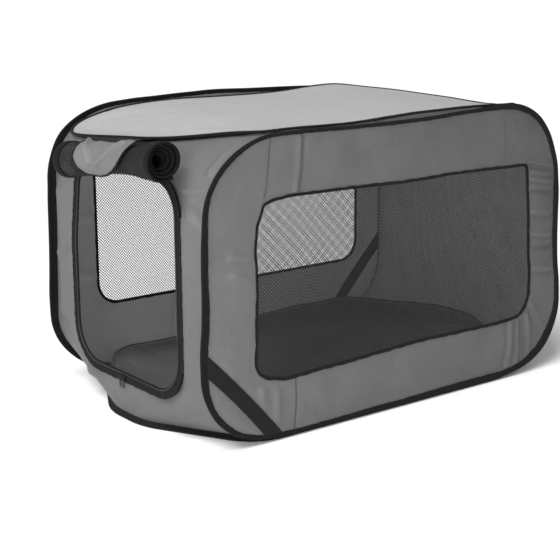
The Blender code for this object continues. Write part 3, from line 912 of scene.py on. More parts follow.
def stood(obj: Object, node: str, body: str) -> None:
    """Hides a CAD node that a piece stands in for, and puts the piece on a body."""
    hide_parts(node)
    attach(obj, body)


def sinks(obj: Object, height: float) -> None:
    """Gives a piece its own copy of its mesh."""
    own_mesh(obj)


@dataclass
class HoopSleeve:
    """One sprung hoop: its wire and ferrule in a sleeve of folded tape."""

    name: str
    body: str
    outline: Array
    place: Placing
    finishes: Finishes
    squash_axis: tuple[float, float, float]
    squash_anchor: tuple[float, float, float]
    seed: int
    own_wire: bool = False
    own_ferrule: bool = False
    side: int = 0
    stance: Callable[[Array], Array] = lambda points: points
    points: int = 640
    bead: float = 0.00205
    bead_middle: float = 0.0025
    leg: float = 0.00115
    leg_start: float = 0.0042
    wall: float = 0.0009
    pucker: float = 0.0006
    mouth_wave: float = 0.0007
    waves: tuple[int, ...] = (61, 97, 149, 211)
    wire_width: float = 0.0030
    wire_thickness: float = 0.0012
    wire_inset: float = 0.0025
    ferrule_length: float = 0.0240
    ferrule_wall: float = 0.0006
    ferrule_swell: float = 0.0010

    def section(self) -> tuple[Array, Array, Array]:
        """Half of the tape's section, from the bead's crown to the mouth.

        Returns:
            The distance from the edge, the depth off the middle plane, and the share of the leg, for each point. The
            bead is a half circle, then a level run that eases down to the leg.
        """
        turn = np.linspace(0, math.pi / 2, 7)
        share = np.concatenate([np.zeros(9), np.linspace(0, 1, 11)[1:]])
        s = np.concatenate([self.bead_middle - self.bead * np.cos(turn), [0.0034], np.full(11, self.leg_start)])
        drop = smooth(share / 0.4) * (self.bead - self.leg)
        return s, np.concatenate([self.bead * np.sin(turn), np.full(12, self.bead)]) - drop, share

    def sleeve(self) -> Object:
        """The tape, swept along the hoop, its mouth a little wavy and puckered where the thread pulls it in."""
        line = resampled(self.outline, self.points, closed=True)
        run = run_round(line)
        random = np.random.default_rng(self.seed)
        phase = random.uniform(0, 2 * math.pi, 4)
        along = 2 * math.pi * run[:-1] / run[-1]
        wave = sum(np.sin(k * along + p) for k, p in zip(self.waves, phase)) / len(self.waves)
        mouth = CRATE.tape_width(line, self.side) + self.mouth_wave * wave
        s, q, leg = self.section()
        deep = s[:, None] + (mouth - self.leg_start) * leg[:, None]
        down = np.zeros_like(deep)
        if not self.side:
            deep, down = (np.stack(part) for part in zip(*(CRATE.leaned(line, row) for row in deep)))
        gather = (0.5 + 0.5 * np.sin(173 * along + phase[0] + 2 * wave)) * (0.6 + 0.4 * np.sin(9 * along + phase[1]))
        lift = q[:, None] + self.pucker * gather * leg[:, None] ** 2
        rows = [self.place(inset(line, deep[k]), side * lift[k] - down[k])
                for side, order in ((1, range(len(s) - 1, 0, -1)), (-1, range(len(s)))) for k in order]
        half = run_along(np.column_stack([s + leg * 0.0085, q]))
        v = np.concatenate([half[:0:-1], -half])
        grid = self.stance(np.stack(rows))
        uv = round_uv(run, v)
        obj = Surface().add_grid(grid, uv, loop_columns=True).make(f"{self.name}_sleeve")
        walled(dressed(obj, self.finishes.sleeve, Slot.TAPE), self.wall)
        stood(obj, f"{self.name}_binding", self.body)
        return obj

    def rod(self, name: str, line: Array, width: float, thickness: float) -> Object:
        """A flat bar with rounded edges, swept along a line in the hoop's plane."""
        turn = np.linspace(0, 2 * math.pi, 17)[:-1]
        s = width / 2 * np.sign(np.cos(turn)) * np.abs(np.cos(turn)) ** 0.5
        q = thickness / 2 * np.sign(np.sin(turn)) * np.abs(np.sin(turn)) ** 0.7
        side = unit(np.gradient(line, axis=0))[:, ::-1] * (-1, 1)
        grid = self.stance(np.stack([self.place(line + side * a, b) for a, b in zip(s, q)]))
        run = run_along(line)
        uv = round_uv(run, np.linspace(0, 2 * (width + thickness), 17))
        shell = Surface().add_grid(grid, uv, loop_rows=True)
        for end in (0, -1):
            disc = np.stack([grid[:, end], np.broadcast_to(grid[:, end].mean(axis=0), grid[:, end].shape)])
            shell.add_grid(disc, np.zeros((2, 17, 2)), loop_columns=True)
        return shell.make(name, merge=1e-7, outward=True)

    def rear_line(self, distance: float) -> Array:
        """The hoop's line at a distance from its edge, from one side of the joint at the rear round to the other."""
        line = inset(resampled(self.outline, self.points, closed=True), distance)
        middle = (line[:, 1].max() + line[:, 1].min()) / 2
        start = int(np.argmin(np.where(line[:, 0] > line[:, 0].max() - 0.002, np.abs(line[:, 1] - middle), 9.0)))
        return np.roll(line, -start, axis=0)[1:-1]

    def wire(self, name: str) -> Object:
        """The spring wire, from one side of the joint round to the other."""
        return self.rod(name, self.rear_line(CRATE.channel - self.wire_inset), self.wire_width, self.wire_thickness)

    def ferrule(self, name: str) -> Object:
        """The short tube that joins the wire's ends."""
        reach = self.ferrule_length / 2
        x = self.outline[:, 0].max() - (CRATE.channel - self.wire_inset)
        line = np.column_stack([np.full(9, x), np.linspace(-reach, reach, 9)])
        return self.rod(name, line, self.wire_width + 2 * self.ferrule_wall, self.wire_thickness + self.ferrule_swell)

    def build(self) -> None:
        """Builds the sleeve, and the wire and ferrule where the hoop's stance moves them."""
        fold = {"axis": self.squash_axis, "anchor": self.squash_anchor, "keep": 0.08 if self.body == "roof" else 0.98}
        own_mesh(self.sleeve())
        for own, kind, make in ((self.own_wire, "wire", self.wire), (self.own_ferrule, "ferrule", self.ferrule)):
            node = f"{self.name}_hoop_{kind}"
            if not own:
                polished(node, self.finishes.steel)
                continue
            piece = dressed(make(f"{self.name}_{kind}"), self.finishes.steel, Slot.STEEL)
            stood(piece, node, self.body)
            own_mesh(piece)


@dataclass(frozen=True)
class EdgeTape:
    """Tape folded over a cloth's cut edge: a leg on each face of the cloth and a round web in the hole."""

    width: float
    rows: int
    even: float
    sway: float
    pucker: float
    waves: tuple[int, int, int]
    phase: float
    leg: float = 0.0011
    lap: float = 0.0008
    web: float = 0.0010

    def sweep(self, line: Array, place: Placing) -> tuple[Array, Array, Array, float]:
        """Carries the tape's section round a closed line.

        Past the even share of its width a leg sways by sines of the run and puckers away from the cloth.

        Args:
            line: The cloth's cut edge.
            place: Sets plane points and depths in space.

        Returns:
            The points by row and place, their UVs with v from the fold, the run, and the section's length.
        """
        run = run_round(line)
        along = 2 * math.pi * run[:-1] / run[-1]
        slow, quick, fine = self.waves
        wave = np.sin(slow * along) * 0.5 + np.sin(quick * along + self.phase) * 0.5
        leg = np.linspace(-self.width, -self.lap, self.rows)
        turn = np.linspace(math.pi / 2, -math.pi / 2, 7)[1:-1]
        s = np.concatenate([leg, -self.lap + self.web * np.cos(turn), leg[::-1]])
        q = np.concatenate([np.full(self.rows, 1.0), np.sin(turn), np.full(self.rows, -1.0)])
        loose = smooth((-s / self.width - self.even) / (1 - self.even))
        depth = q[:, None] * (self.leg + self.pucker * loose[:, None] * (0.5 + 0.5 * np.sin(fine * along)))
        grid = np.stack([place(inset(line, a + self.sway * wave * b), d) for a, b, d in zip(s, loose, depth)])
        section = run_along(np.column_stack([s, q * self.leg]))
        return grid, round_uv(run, section - section[-1] / 2), run, float(section[-1])


@dataclass
class SideWall:
    """One long side: cloth in the hoop, a net window in it, the window's tape and the corner strap."""

    name: str
    side: int
    sill: float
    strap_end: int
    finishes: Finishes
    creases: Sequence[Crease]
    seed: int
    cut: Sequence[tuple[float, float]] = ()
    window_x: tuple[float, float] = (-0.341, 0.366)
    window_top: float = 0.456
    centre: tuple[float, float] = (0.012, 0.287)
    lower_radius: float = 0.045
    upper_radius: float = 0.016
    tape: EdgeTape = EdgeTape(0.0056, 9, 0.4, 0.0006, 0.0005, (41, 67, 139), 1.3)
    tape_wall: float = 0.0008
    strap_width: float = 0.0285
    strap_bow: float = 0.0026
    strap_from_end: float = 0.070
    strap_above: float = 0.104
    strap_slope: float = math.radians(47.3)
    billow: float = 0.0035
    fold: float = 2.4

    def window(self) -> Array:
        """The window's cut edge as (x, z): the measured places where there are any, or an even shape."""
        if self.cut:
            return softened(resampled(np.array(self.cut) / 1000, 720, closed=True), 2.2)
        (front, rear), low, high = self.window_x, self.lower_radius, self.upper_radius
        corners = [(rear, self.sill), (rear, self.window_top), (front, self.window_top), (front, self.sill)]
        return resampled(filleted(corners, [low, high, high, low], 12), 720, closed=True)

    def strap_lines(self) -> tuple[Array, Array, Array]:
        """A point on the strap's middle line, and the directions along and across it."""
        point = np.array([self.strap_end * (CRATE.length / 2 - self.strap_from_end), self.strap_above])
        c, s = math.cos(self.strap_slope), math.sin(self.strap_slope)
        return point, np.array([self.strap_end * c, s]), np.array([-self.strap_end * s, c])

    def cloth(self) -> Object:
        """The wall's cloth: rays from the window's edge to the hoop, billowed, creased and uneven between the two."""
        hoop = CRATE.wall_outline(self.side, 880)
        outer = inset(hoop, CRATE.channel + CRATE.gap)
        centre = np.array(self.centre)
        ray = outer - centre
        angle = np.arctan2(ray[:, 1], ray[:, 0])
        far = np.linalg.norm(ray, axis=1)
        near = radius_at(inset(self.window(), -0.0011), centre, angle)
        share = np.linspace(0, 1, 52)[:, None]
        reach = near + (far - near) * share
        plane = centre + reach[..., None] * (ray / far[:, None])
        hidden = CRATE.tape_width(hoop, self.side) - CRATE.channel + 0.001
        open_span = smooth((far - reach - hidden) / 0.024) * smooth((reach - near - 0.006) / 0.020)
        swell = self.billow * np.sin(np.pi * share) ** 1.5
        lumps = Waves(self.seed, 0.0022, 0.035, 0.30).at(plane) + Waves(self.seed + 7, 0.0006, 0.012, 0.05).at(plane)
        point, _, across = self.strap_lines()
        low_corner = smooth((0.26 - plane[..., 1]) / 0.03) * (plane[..., 0] * self.strap_end > 0)
        off_strap = 1 - low_corner * (1 - smooth((np.abs((plane - point) @ across) - self.strap_width / 2) / 0.018))
        creased = smooth((far - reach - hidden) / 0.010) * smooth((reach - near - 0.006) / 0.010) * self.fold
        depth = off_strap * (open_span * (swell + lumps) + creased * fold_lines(plane, self.creases))
        grid = upright(self.side)(plane, depth)
        uv = closed_up(plane)
        obj = Surface().add_grid(grid, uv, loop_columns=True, flip=self.side > 0).make(f"{self.name}_wall_cloth")
        walled(dressed(obj, self.finishes.right if self.side == RIGHT else self.finishes.left, Slot.GREY), CRATE.cloth)
        stood(obj, f"{self.name}_side_panel", f"{self.name}_side")
        area = area_of(upright(self.side)(uv, 0.0))
        return obj

    def window_tape(self) -> Object:
        """Tape folded over the window's cut edge."""
        grid, uv, run, width = self.tape.sweep(self.window(), upright(self.side))
        obj = Surface().add_grid(grid, uv, loop_columns=True).make(f"{self.name}_window_tape")
        walled(dressed(obj, self.finishes.edging, Slot.TAPE), self.tape_wall)
        stood(obj, f"{self.name}_window_binding", f"{self.name}_side")
        return obj

    def net(self) -> Object:
        """The window's net: rays from a middle point to the cut edge, slack by a few millimetres."""
        centre = np.array(self.centre)
        share = np.linspace(0, 1, 30)[:, None, None] ** 0.8
        plane = centre + (self.window() - centre) * share
        depth = smooth((1 - share[..., 0]) * 6) * Waves(self.seed + 3, 0.0030, 0.10, 0.5, 6).at(plane)
        grid = upright(self.side)(plane, depth)
        uv = closed_up(plane)
        obj = Surface().add_grid(grid, uv, loop_columns=True, flip=self.side > 0).make(
            f"{self.name}_window_net", merge=1e-7)
        dressed(obj, self.finishes.net, Slot.NET)
        stood(obj, f"{self.name}_window_mesh", f"{self.name}_side")
        0.456 - self.sill
        return obj

    def strap(self) -> Object:
        """Webbing across a lower corner: straight lines along it, each cut where it passes under the sleeve."""
        outline = CRATE.wall_outline(self.side, 1600)
        inner = inset(outline, CRATE.tape_width(outline, self.side) - 0.0015)
        corner = inner[(self.strap_end * inner[:, 0] > 0) & (inner[:, 1] < CRATE.height / 2)]
        corner = corner[np.argsort(-corner[:, 1])]
        point, along, across = self.strap_lines()
        reach, place = (corner - point) @ across, (corner - point) @ along
        lowest = int(reach.argmin())
        offsets = np.linspace(-self.strap_width / 2, self.strap_width / 2, 15)
        upper = np.interp(offsets, reach[:lowest][::-1], place[:lowest][::-1])
        lower = np.interp(offsets, reach[lowest:], place[lowest:])
        share = np.linspace(0, 1, 60)[None, :]
        run = lower[:, None] + (upper - lower)[:, None] * share
        sideways = offsets[:, None] + self.strap_bow * 4 * share * (1 - share)
        plane = point + run[..., None] * along + sideways[..., None] * across
        bow = 0.0012 + 0.0016 * np.sin(np.pi * share) + 0.0003 * np.cos(offsets[:, None] / self.strap_width * math.pi)
        grid = upright(self.side)(plane, -self.side * bow)
        uv = np.stack([run - run.min(), np.broadcast_to(offsets[:, None], run.shape)], axis=-1)
        obj = Surface().add_grid(grid, uv).make(f"{self.name}_strap")
        walled(dressed(obj, self.finishes.webbing, Slot.WEBBING), 0.0012)
        stood(obj, f"{self.name}_corner_strap", f"{self.name}_side")
        area_of(grid)
        return obj

    def build(self) -> None:
        """Builds the wall's four pieces, each with its own copy of its mesh."""
        plane = (0.0, self.side * CRATE.wall_plane, 0.0)
        for piece, keep in ((self.cloth(), 0.1), (self.window_tape(), 0.9), (self.net(), 0.1), (self.strap(), 0.8)):
            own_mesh(piece)


@dataclass
class Roof:
    """Light cloth held in the roof hoop's sleeve."""

    finishes: Finishes
    rows: int = 230
    columns: int = 120

    def half_width(self, x: Array) -> Array:
        """Half the roof's width at each x, inside the sleeve."""
        edge = inset(resampled(CRATE.plan_outline(), 3000, closed=True), CRATE.channel + CRATE.gap)
        upper = edge[edge[:, 1] > 0]
        upper = upper[np.argsort(upper[:, 0])]
        return np.interp(x, upper[:, 0], upper[:, 1])

    def grid(self) -> tuple[Array, Array, Array]:
        """Lines across the roof: (x, y) by row and column, the distance to the long edge, and that to the nose."""
        end = CRATE.length / 2 - CRATE.channel - CRATE.gap
        x = end * np.sin(np.linspace(-math.pi / 2, math.pi / 2, self.rows) * 0.985) / math.sin(math.pi / 2 * 0.985)
        half = self.half_width(x)
        y = half[:, None] * np.linspace(-1, 1, self.columns)[None, :]
        plane = np.stack([np.broadcast_to(x[:, None], y.shape), y], axis=-1)
        return plane, half[:, None] - np.abs(y), np.broadcast_to((end - np.abs(x))[:, None], y.shape)

    def build(self) -> None:
        """The cloth: taut, a little slack in the middle, with faint pulls towards the hoop."""
        plane, side_gap, nose_gap = self.grid()
        gap = np.minimum(side_gap, nose_gap)
        open_span = smooth((gap - 0.006) / 0.05)
        lumps = Waves(11, 0.0030, 0.05, 0.45).at(plane) + Waves(12, 0.0007, 0.015, 0.06).at(plane)
        creases = creases_from(
            (-360, -100, -300, -210, 10, 0, 1.4), (330, -160, 400, -20, 14, 0, 1.6), (-260, 120, -360, 20, 16, 1.2),
            (200, 200, 340, 80, 16, 0, 1.4),
        )
        depth = open_span * (lumps + fold_lines(plane, creases) - 0.002 * open_span)
        cloth_level = level(CRATE.roof_level, 1)
        grid = STANCE.roof(cloth_level(plane, depth))
        obj = Surface().add_grid(grid, plane).make("roof_cloth")
        walled(dressed(obj, self.finishes.light, Slot.LIGHT), CRATE.cloth)
        stood(obj, "top_panel", "roof")
        area_of(grid)
        sinks(obj, CRATE.roof_level)


@dataclass
class FloorAndMat:
    """Floor cloth held in the base hoop's sleeve, and the loose padded mat on it."""

    finishes: Finishes
    mat_clearance: float = 0.0135
    mat_height: float = 0.058
    mat_bottom: float = 0.0011
    around: int = 420
    rim: float = 0.0160
    ramp: float = 0.0140

    def floor(self) -> None:
        """The cloth: level in the sleeve, then down a short ramp to the ground, where it lies."""
        roof = Roof(self.finishes, rows=150, columns=80)
        plane, side_gap, nose_gap = roof.grid()
        gap = np.minimum(side_gap, nose_gap)
        down = smooth((gap - (self.rim - 0.006)) / self.ramp)
        rest = CRATE.cloth / 2 + 0.0001
        height = CRATE.hoop_thickness / 2 * (1 - down) + rest * down
        height = height + down * np.clip(Waves(21, 0.0012, 0.06, 0.3).at(plane), 0, None)
        grid = level(0.0, 1)(plane, height)
        obj = Surface().add_grid(grid, plane).make("floor_cloth")
        walled(dressed(obj, self.finishes.grey, Slot.GREY), CRATE.cloth)
        stood(obj, "floor_panel", "base")
        area_of(grid)

    def mat(self) -> None:
        """The mat: rings round its outline, each a share of it, with a rounded rim, a welt and a low crown."""
        outline = resampled(inset(CRATE.plan_outline(), self.mat_clearance), self.around, closed=True)
        profile = np.array([
            (0.00, 0.000), (0.30, 0.000), (0.60, 0.000), (0.80, 0.000), (0.90, 0.000), (0.955, 0.010), (0.978, 0.070),
            (0.992, 0.20), (1.00, 0.42), (1.002, 0.60), (0.998, 0.78), (0.990, 0.885), (0.985, 0.925), (0.990, 0.955),
            (0.984, 0.985), (0.973, 0.985), (0.970, 0.955), (0.962, 0.962), (0.94, 0.975), (0.91, 0.955), (0.86, 0.885),
            (0.78, 0.815), (0.66, 0.785), (0.50, 0.785), (0.33, 0.80), (0.16, 0.81), (0.00, 0.812),
        ])
        dense = np.column_stack([np.interp(np.linspace(0, 1, 96), np.linspace(0, 1, len(profile)), profile[:, k])
                                 for k in (0, 1)])
        plane = outline[None, :, :] * dense[:, :1, None]
        upper = smooth((dense[:, 1:2] - 0.5) / 0.4)
        lumps = Waves(31, 0.0035, 0.07, 0.40).at(plane) + Waves(32, 0.0010, 0.02, 0.08).at(plane)
        raised = 0.013 * smooth((dense[:, :1] - 0.55) / 0.3) * smooth((plane[..., 0] + 0.1) / 0.3)
        height = self.mat_bottom + dense[:, 1:2] * self.mat_height + upper * (lumps + raised)
        grid = level(0.0, 1)(plane, height)
        uv = closed_up(plane)
        obj = Surface().add_grid(grid, uv, loop_columns=True).make("padded_mat", merge=1e-7, outward=True)
        dressed(obj, self.finishes.mat, Slot.MAT)
        stood(obj, "floor_mat", "base")
        sinks(obj, self.mat_bottom)

    def build(self) -> None:
        """Builds both."""
        self.floor()
        self.mat()


class Quarter(Enum):
    """The hoop that a quarter of an end wall folds down with: its body, squash axis and squash anchor."""

    TOP = ("roof", (0.0, 0.0, 1.0), (0.0, 0.0, 0.5765))
    BOTTOM = ("base", (0.0, 0.0, 1.0), (0.0, 0.0, 0.0035))
    RIGHT = ("right_side", (0.0, 1.0, 0.0), (0.0, -0.2780, 0.0))
    LEFT = ("left_side", (0.0, 1.0, 0.0), (0.0, 0.2780, 0.0))

    @staticmethod
    def at_corner(side: int, high: int) -> tuple["Quarter", "Quarter"]:
        """The level and the upright quarter that meet at a corner."""
        return Quarter.TOP if high > 0 else Quarter.BOTTOM, Quarter.LEFT if side > 0 else Quarter.RIGHT


@dataclass
class EndWall:
    """Cloth across an end: a flat eight-sided middle and a ruled patch in each corner, cut into four quarters."""

    name: str
    node: str
    end: int
    finishes: Finishes
    creases: Sequence[Crease]
    seed: int
    doorway: Array | None = None
    diagonal: int = 40
    straight: int = 36
    flat: int = 6
    patch: int = 44
    rings: int = 34
    keep: float = 0.03
    lap: float = 0.0015
    off_plane: float = 0.0018
    hollow: float = 0.045
    lean_reach: float = 0.15
    lean_back: float = 0.55
    lean_sideways: float = 0.75
    held: float = 0.014
    held_at_side: float = 0.0085
    held_at_door: float = 0.020
    ease: float = 0.035
    ease_at_door: float = 0.028
    fold: float = 3.0

    def corner(self, side: int, high: int) -> Array:
        """Ruled patch: straight threads from the plan hoop's arc to the side hoop's arc, by arc place and thread."""
        whole = CRATE.plan_outline()
        level_run, down = CRATE.leaned(whole, CRATE.tape_width(whole) - self.lap)
        count = 2 * (CRATE.arc_steps + 1)
        plan = np.column_stack([inset(whole, level_run), CRATE.roof_level - self.off_plane - down])[:count]
        outline = CRATE.wall_outline(side)
        quarter = {(1, 1): 0, (-1, 1): 1, (-1, -1): 2, (1, -1): 3}[self.end, high]
        steps = slice(quarter * (CRATE.arc_steps + 1), (quarter + 1) * (CRATE.arc_steps + 1))
        wall = inset(outline, CRATE.tape_width(outline, side) - self.lap)[steps][:: 1 - 2 * (quarter % 2)]
        starts, wall = resampled(plan, self.patch + 1), resampled(wall, self.patch + 1)
        height = wall[:, 1] if high > 0 else CRATE.height - wall[:, 1]
        ends = np.column_stack([np.abs(wall[:, 0]), np.full(len(wall), CRATE.wall_plane - self.off_plane), height])
        w = np.linspace(0, 1, self.diagonal + 1)[None, :, None]
        threads = starts[:, None] * (1 - w) + ends[:, None] * w
        if high < 0:
            threads[..., 2] = CRATE.height - threads[..., 2]
        return threads * (self.end, side, 1)

    def rim(self) -> tuple[Array, Array]:
        """Boundary of the middle, and the quarter that each of its edges folds with.

        Returns:
            The points, anticlockwise from the middle of the top as seen along +X, and an index into Quarter for each
            edge that starts at a point. A corner's diagonal has the points of its ruled patch's first thread.
        """
        order = list(Quarter)
        points, quarters = [], []
        half = self.diagonal // 2
        for high, side in ((1, 1), (-1, 1), (-1, -1), (1, -1)):
            first, second = (order.index(quarter) for quarter in Quarter.at_corner(side, high)[:: side * high])
            points.append(self.corner(side, high)[0][:: side * high])
            quarters.append([first] * half + [second] * half)
        rim, tags = [], []
        for k in range(4):
            rim.append(points[k][:-1])
            tags += quarters[k]
            start, stop = points[k][-1], points[(k + 1) % 4][0]
            count = self.straight if abs(start[2] - stop[2]) > 0.1 else self.flat
            share = np.linspace(0, 1, count + 1)[:-1, None]
            rim.append(start + (stop - start) * share)
            tags += [quarters[k][-1]] * count
        return np.vstack(rim), np.array(tags)

    def pushed(self, points: Array) -> Array:
        """Displaces places of the wall: waves and creases, along a direction that leans out with the corners."""
        lean = smooth((-CRATE.door_plane - np.abs(points[..., 0])) / self.lean_reach)
        sideways = np.sign(points[..., 1:] - (0.0, CRATE.height / 2)) * lean[..., None] * self.lean_sideways
        out = unit(np.concatenate([self.end * (1 - self.lean_back * lean[..., None]), sideways], axis=-1))
        plane = points[..., 1:]
        top_gap = CRATE.height / 2 - self.held - np.abs(points[..., 2] - CRATE.height / 2)
        side_gap = CRATE.width / 2 - self.held_at_side - np.abs(points[..., 1])
        open_span = smooth(top_gap / self.ease) * smooth(side_gap / self.ease)
        if self.doorway is not None:
            edge = resampled(self.doorway, 240, closed=True)
            flat = plane.reshape(-1, 2)
            gap = np.sqrt(((flat[:, None, :] - edge[None]) ** 2).sum(axis=-1)).min(axis=1).reshape(plane.shape[:-1])
            open_span = open_span * smooth((gap - self.held_at_door) / self.ease_at_door)
        lumps = Waves(self.seed, 0.0042, 0.05, 0.30).at(points) + Waves(self.seed + 5, 0.0009, 0.014, 0.05).at(points)
        depth = open_span * (lumps * (1 - 0.7 * lean) + self.fold * fold_lines(plane, self.creases))
        return points + out * depth[..., None]

    def build(self) -> None:
        """Builds the four quarters from one set of points, so their edges meet."""
        rim, tags = self.rim()
        centre = np.array([DOORWAY_MIDDLE if self.doorway is not None else 0.0, CRATE.height / 2])
        ray = rim[:, 1:] - centre
        far = np.linalg.norm(ray, axis=1)
        near = np.zeros(len(rim))
        if self.doorway is not None:
            near = radius_at(inset(self.doorway, -0.0011), centre, np.arctan2(ray[:, 1], ray[:, 0]))
        share = np.linspace(0, 1, self.rings)[:, None]
        reach = near + (far - near) * share
        plane = centre + reach[..., None] * (ray / far[:, None])
        middle = across_end(self.end)(plane, 0.0)
        apart = rim[:, 0] + self.end * CRATE.door_plane
        middle[..., 0] += apart * (1 - smooth((far - reach) / self.hollow))
        closed = closed_up(middle)
        patches = {(side, high): self.corner(side, high) for side in (1, -1) for high in (1, -1)}
        half = self.diagonal // 2
        final = STANCE.wall(self.pushed(closed))
        for index, quarter in enumerate(Quarter):
            surface, area = Surface(), 0.0
            keep = np.broadcast_to(tags == index, (self.rings - 1, len(rim)))
            surface.add_grid(final, closed[..., 1:], keep=keep, flip=self.end < 0)
            area += area_of(closed, keep)
            for (side, high), patch in patches.items():
                meeting = Quarter.at_corner(side, high)
                if quarter not in meeting:
                    continue
                piece = patch[:, : half + 1] if quarter is meeting[0] else patch[:, half:]
                uv = piece[..., 1:] + (piece[..., :1] + self.end * CRATE.door_plane) * np.array([side, high])
                surface.add_grid(STANCE.wall(self.pushed(piece)), uv, flip=side * high * self.end < 0)
                area += area_of(piece)
            name = f"{self.name}_{quarter.name.lower()}"
            obj = surface.make(name, merge=2e-6)
            walled(dressed(obj, self.finishes.grey, Slot.GREY), CRATE.cloth, -1.0).modifiers[0].use_rim = False
            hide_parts(self.node)
            body, axis, anchor = quarter.value
            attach(obj, body)
            spread = np.ptp(np.vstack(surface.uvs), axis=0)
            share = float(np.clip(area / spread.prod(), 0.35, 0.99))
            scale = math.sqrt(area / share / spread.prod())
            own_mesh(obj)


def doorway_outline() -> Array:
    """The doorway's cut edge as (y, z)."""
    corners = [(0.163, 0.096), (0.163, 0.330), (0.137, 0.487), (-0.193, 0.487), (-0.193, 0.096)]
    return resampled(filleted(corners, [0.070, 0.200, 0.055, 0.058, 0.070], 16), 520, closed=True)


@dataclass
class DoorTape:
    """The zip's tape folded over the doorway's edge, with its half of the coil, in four quarters."""

    finishes: Finishes
    tape: EdgeTape = EdgeTape(0.020, 12, 0.5, 0.0008, 0.0006, (31, 53, 97), 0.7)
    wall: float = 0.0008
    coil: float = 0.0011
    coil_round: float = 0.0070
    coil_inset: float = 0.0035
    coil_depth: float = 0.0020
    tooth_pitch: float = 0.0026
    half_height: float = 0.2132
    half_left: float = 0.1625
    half_right: float = 0.1325
    keep: float = 0.03

    def quarter_of(self, line: Array) -> Array:
        """Which quarter each edge of the outline folds with, cut on the same rays as the end wall."""
        order = list(Quarter)
        middle = (line + np.roll(line, -1, axis=0)) / 2 - (DOORWAY_MIDDLE, CRATE.height / 2)
        half_width = np.where(middle[:, 0] > 0, self.half_left, self.half_right)
        steep = np.abs(middle[:, 1]) / self.half_height > np.abs(middle[:, 0]) / half_width
        upright_side = np.where(middle[:, 0] > 0, order.index(Quarter.LEFT), order.index(Quarter.RIGHT))
        level_side = np.where(middle[:, 1] > 0, order.index(Quarter.TOP), order.index(Quarter.BOTTOM))
        return np.where(steep, level_side, upright_side)

    def build(self) -> None:
        """Sweeps the tape's fold and the coil round the doorway, a quarter at a time."""
        line = doorway_outline()
        tape, uv, run, width = self.tape.sweep(line, across_end(FRONT))
        beat = 2 * math.pi * run[:-1] / self.tooth_pitch
        around = np.linspace(0, 2 * math.pi, 9)[:-1]
        swell = 1 + 0.22 * np.sin(beat)
        coil = np.stack([
            across_end(FRONT)(inset(line, -self.coil_inset + self.coil * np.cos(a) * swell),
                              self.coil_depth + self.coil * 0.8 * np.sin(a) * swell) for a in around
        ])
        coil_uv = round_uv(run, np.linspace(0, self.coil_round, 9))
        tags = self.quarter_of(line)
        for index, quarter in enumerate(Quarter):
            keep = np.broadcast_to(tags == index, (len(tape) - 1, len(line)))
            obj = Surface().add_grid(tape, uv, loop_columns=True, keep=keep, flip=True).make(
                f"door_tape_{quarter.name.lower()}")
            walled(dressed(obj, self.finishes.zip_tape, Slot.TAPE), self.wall)
            teeth = Surface().add_grid(coil, coil_uv, loop_rows=True, loop_columns=True,
                                       keep=np.broadcast_to(tags == index, (8, len(line))), flip=True).make(
                f"door_coil_{quarter.name.lower()}")
            dressed(teeth, self.finishes.coil, Slot.TAPE)
            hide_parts("door_zip_tape")
            body, axis, anchor = quarter.value
            for piece in (obj, teeth):
                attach(piece, body)
                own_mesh(piece)


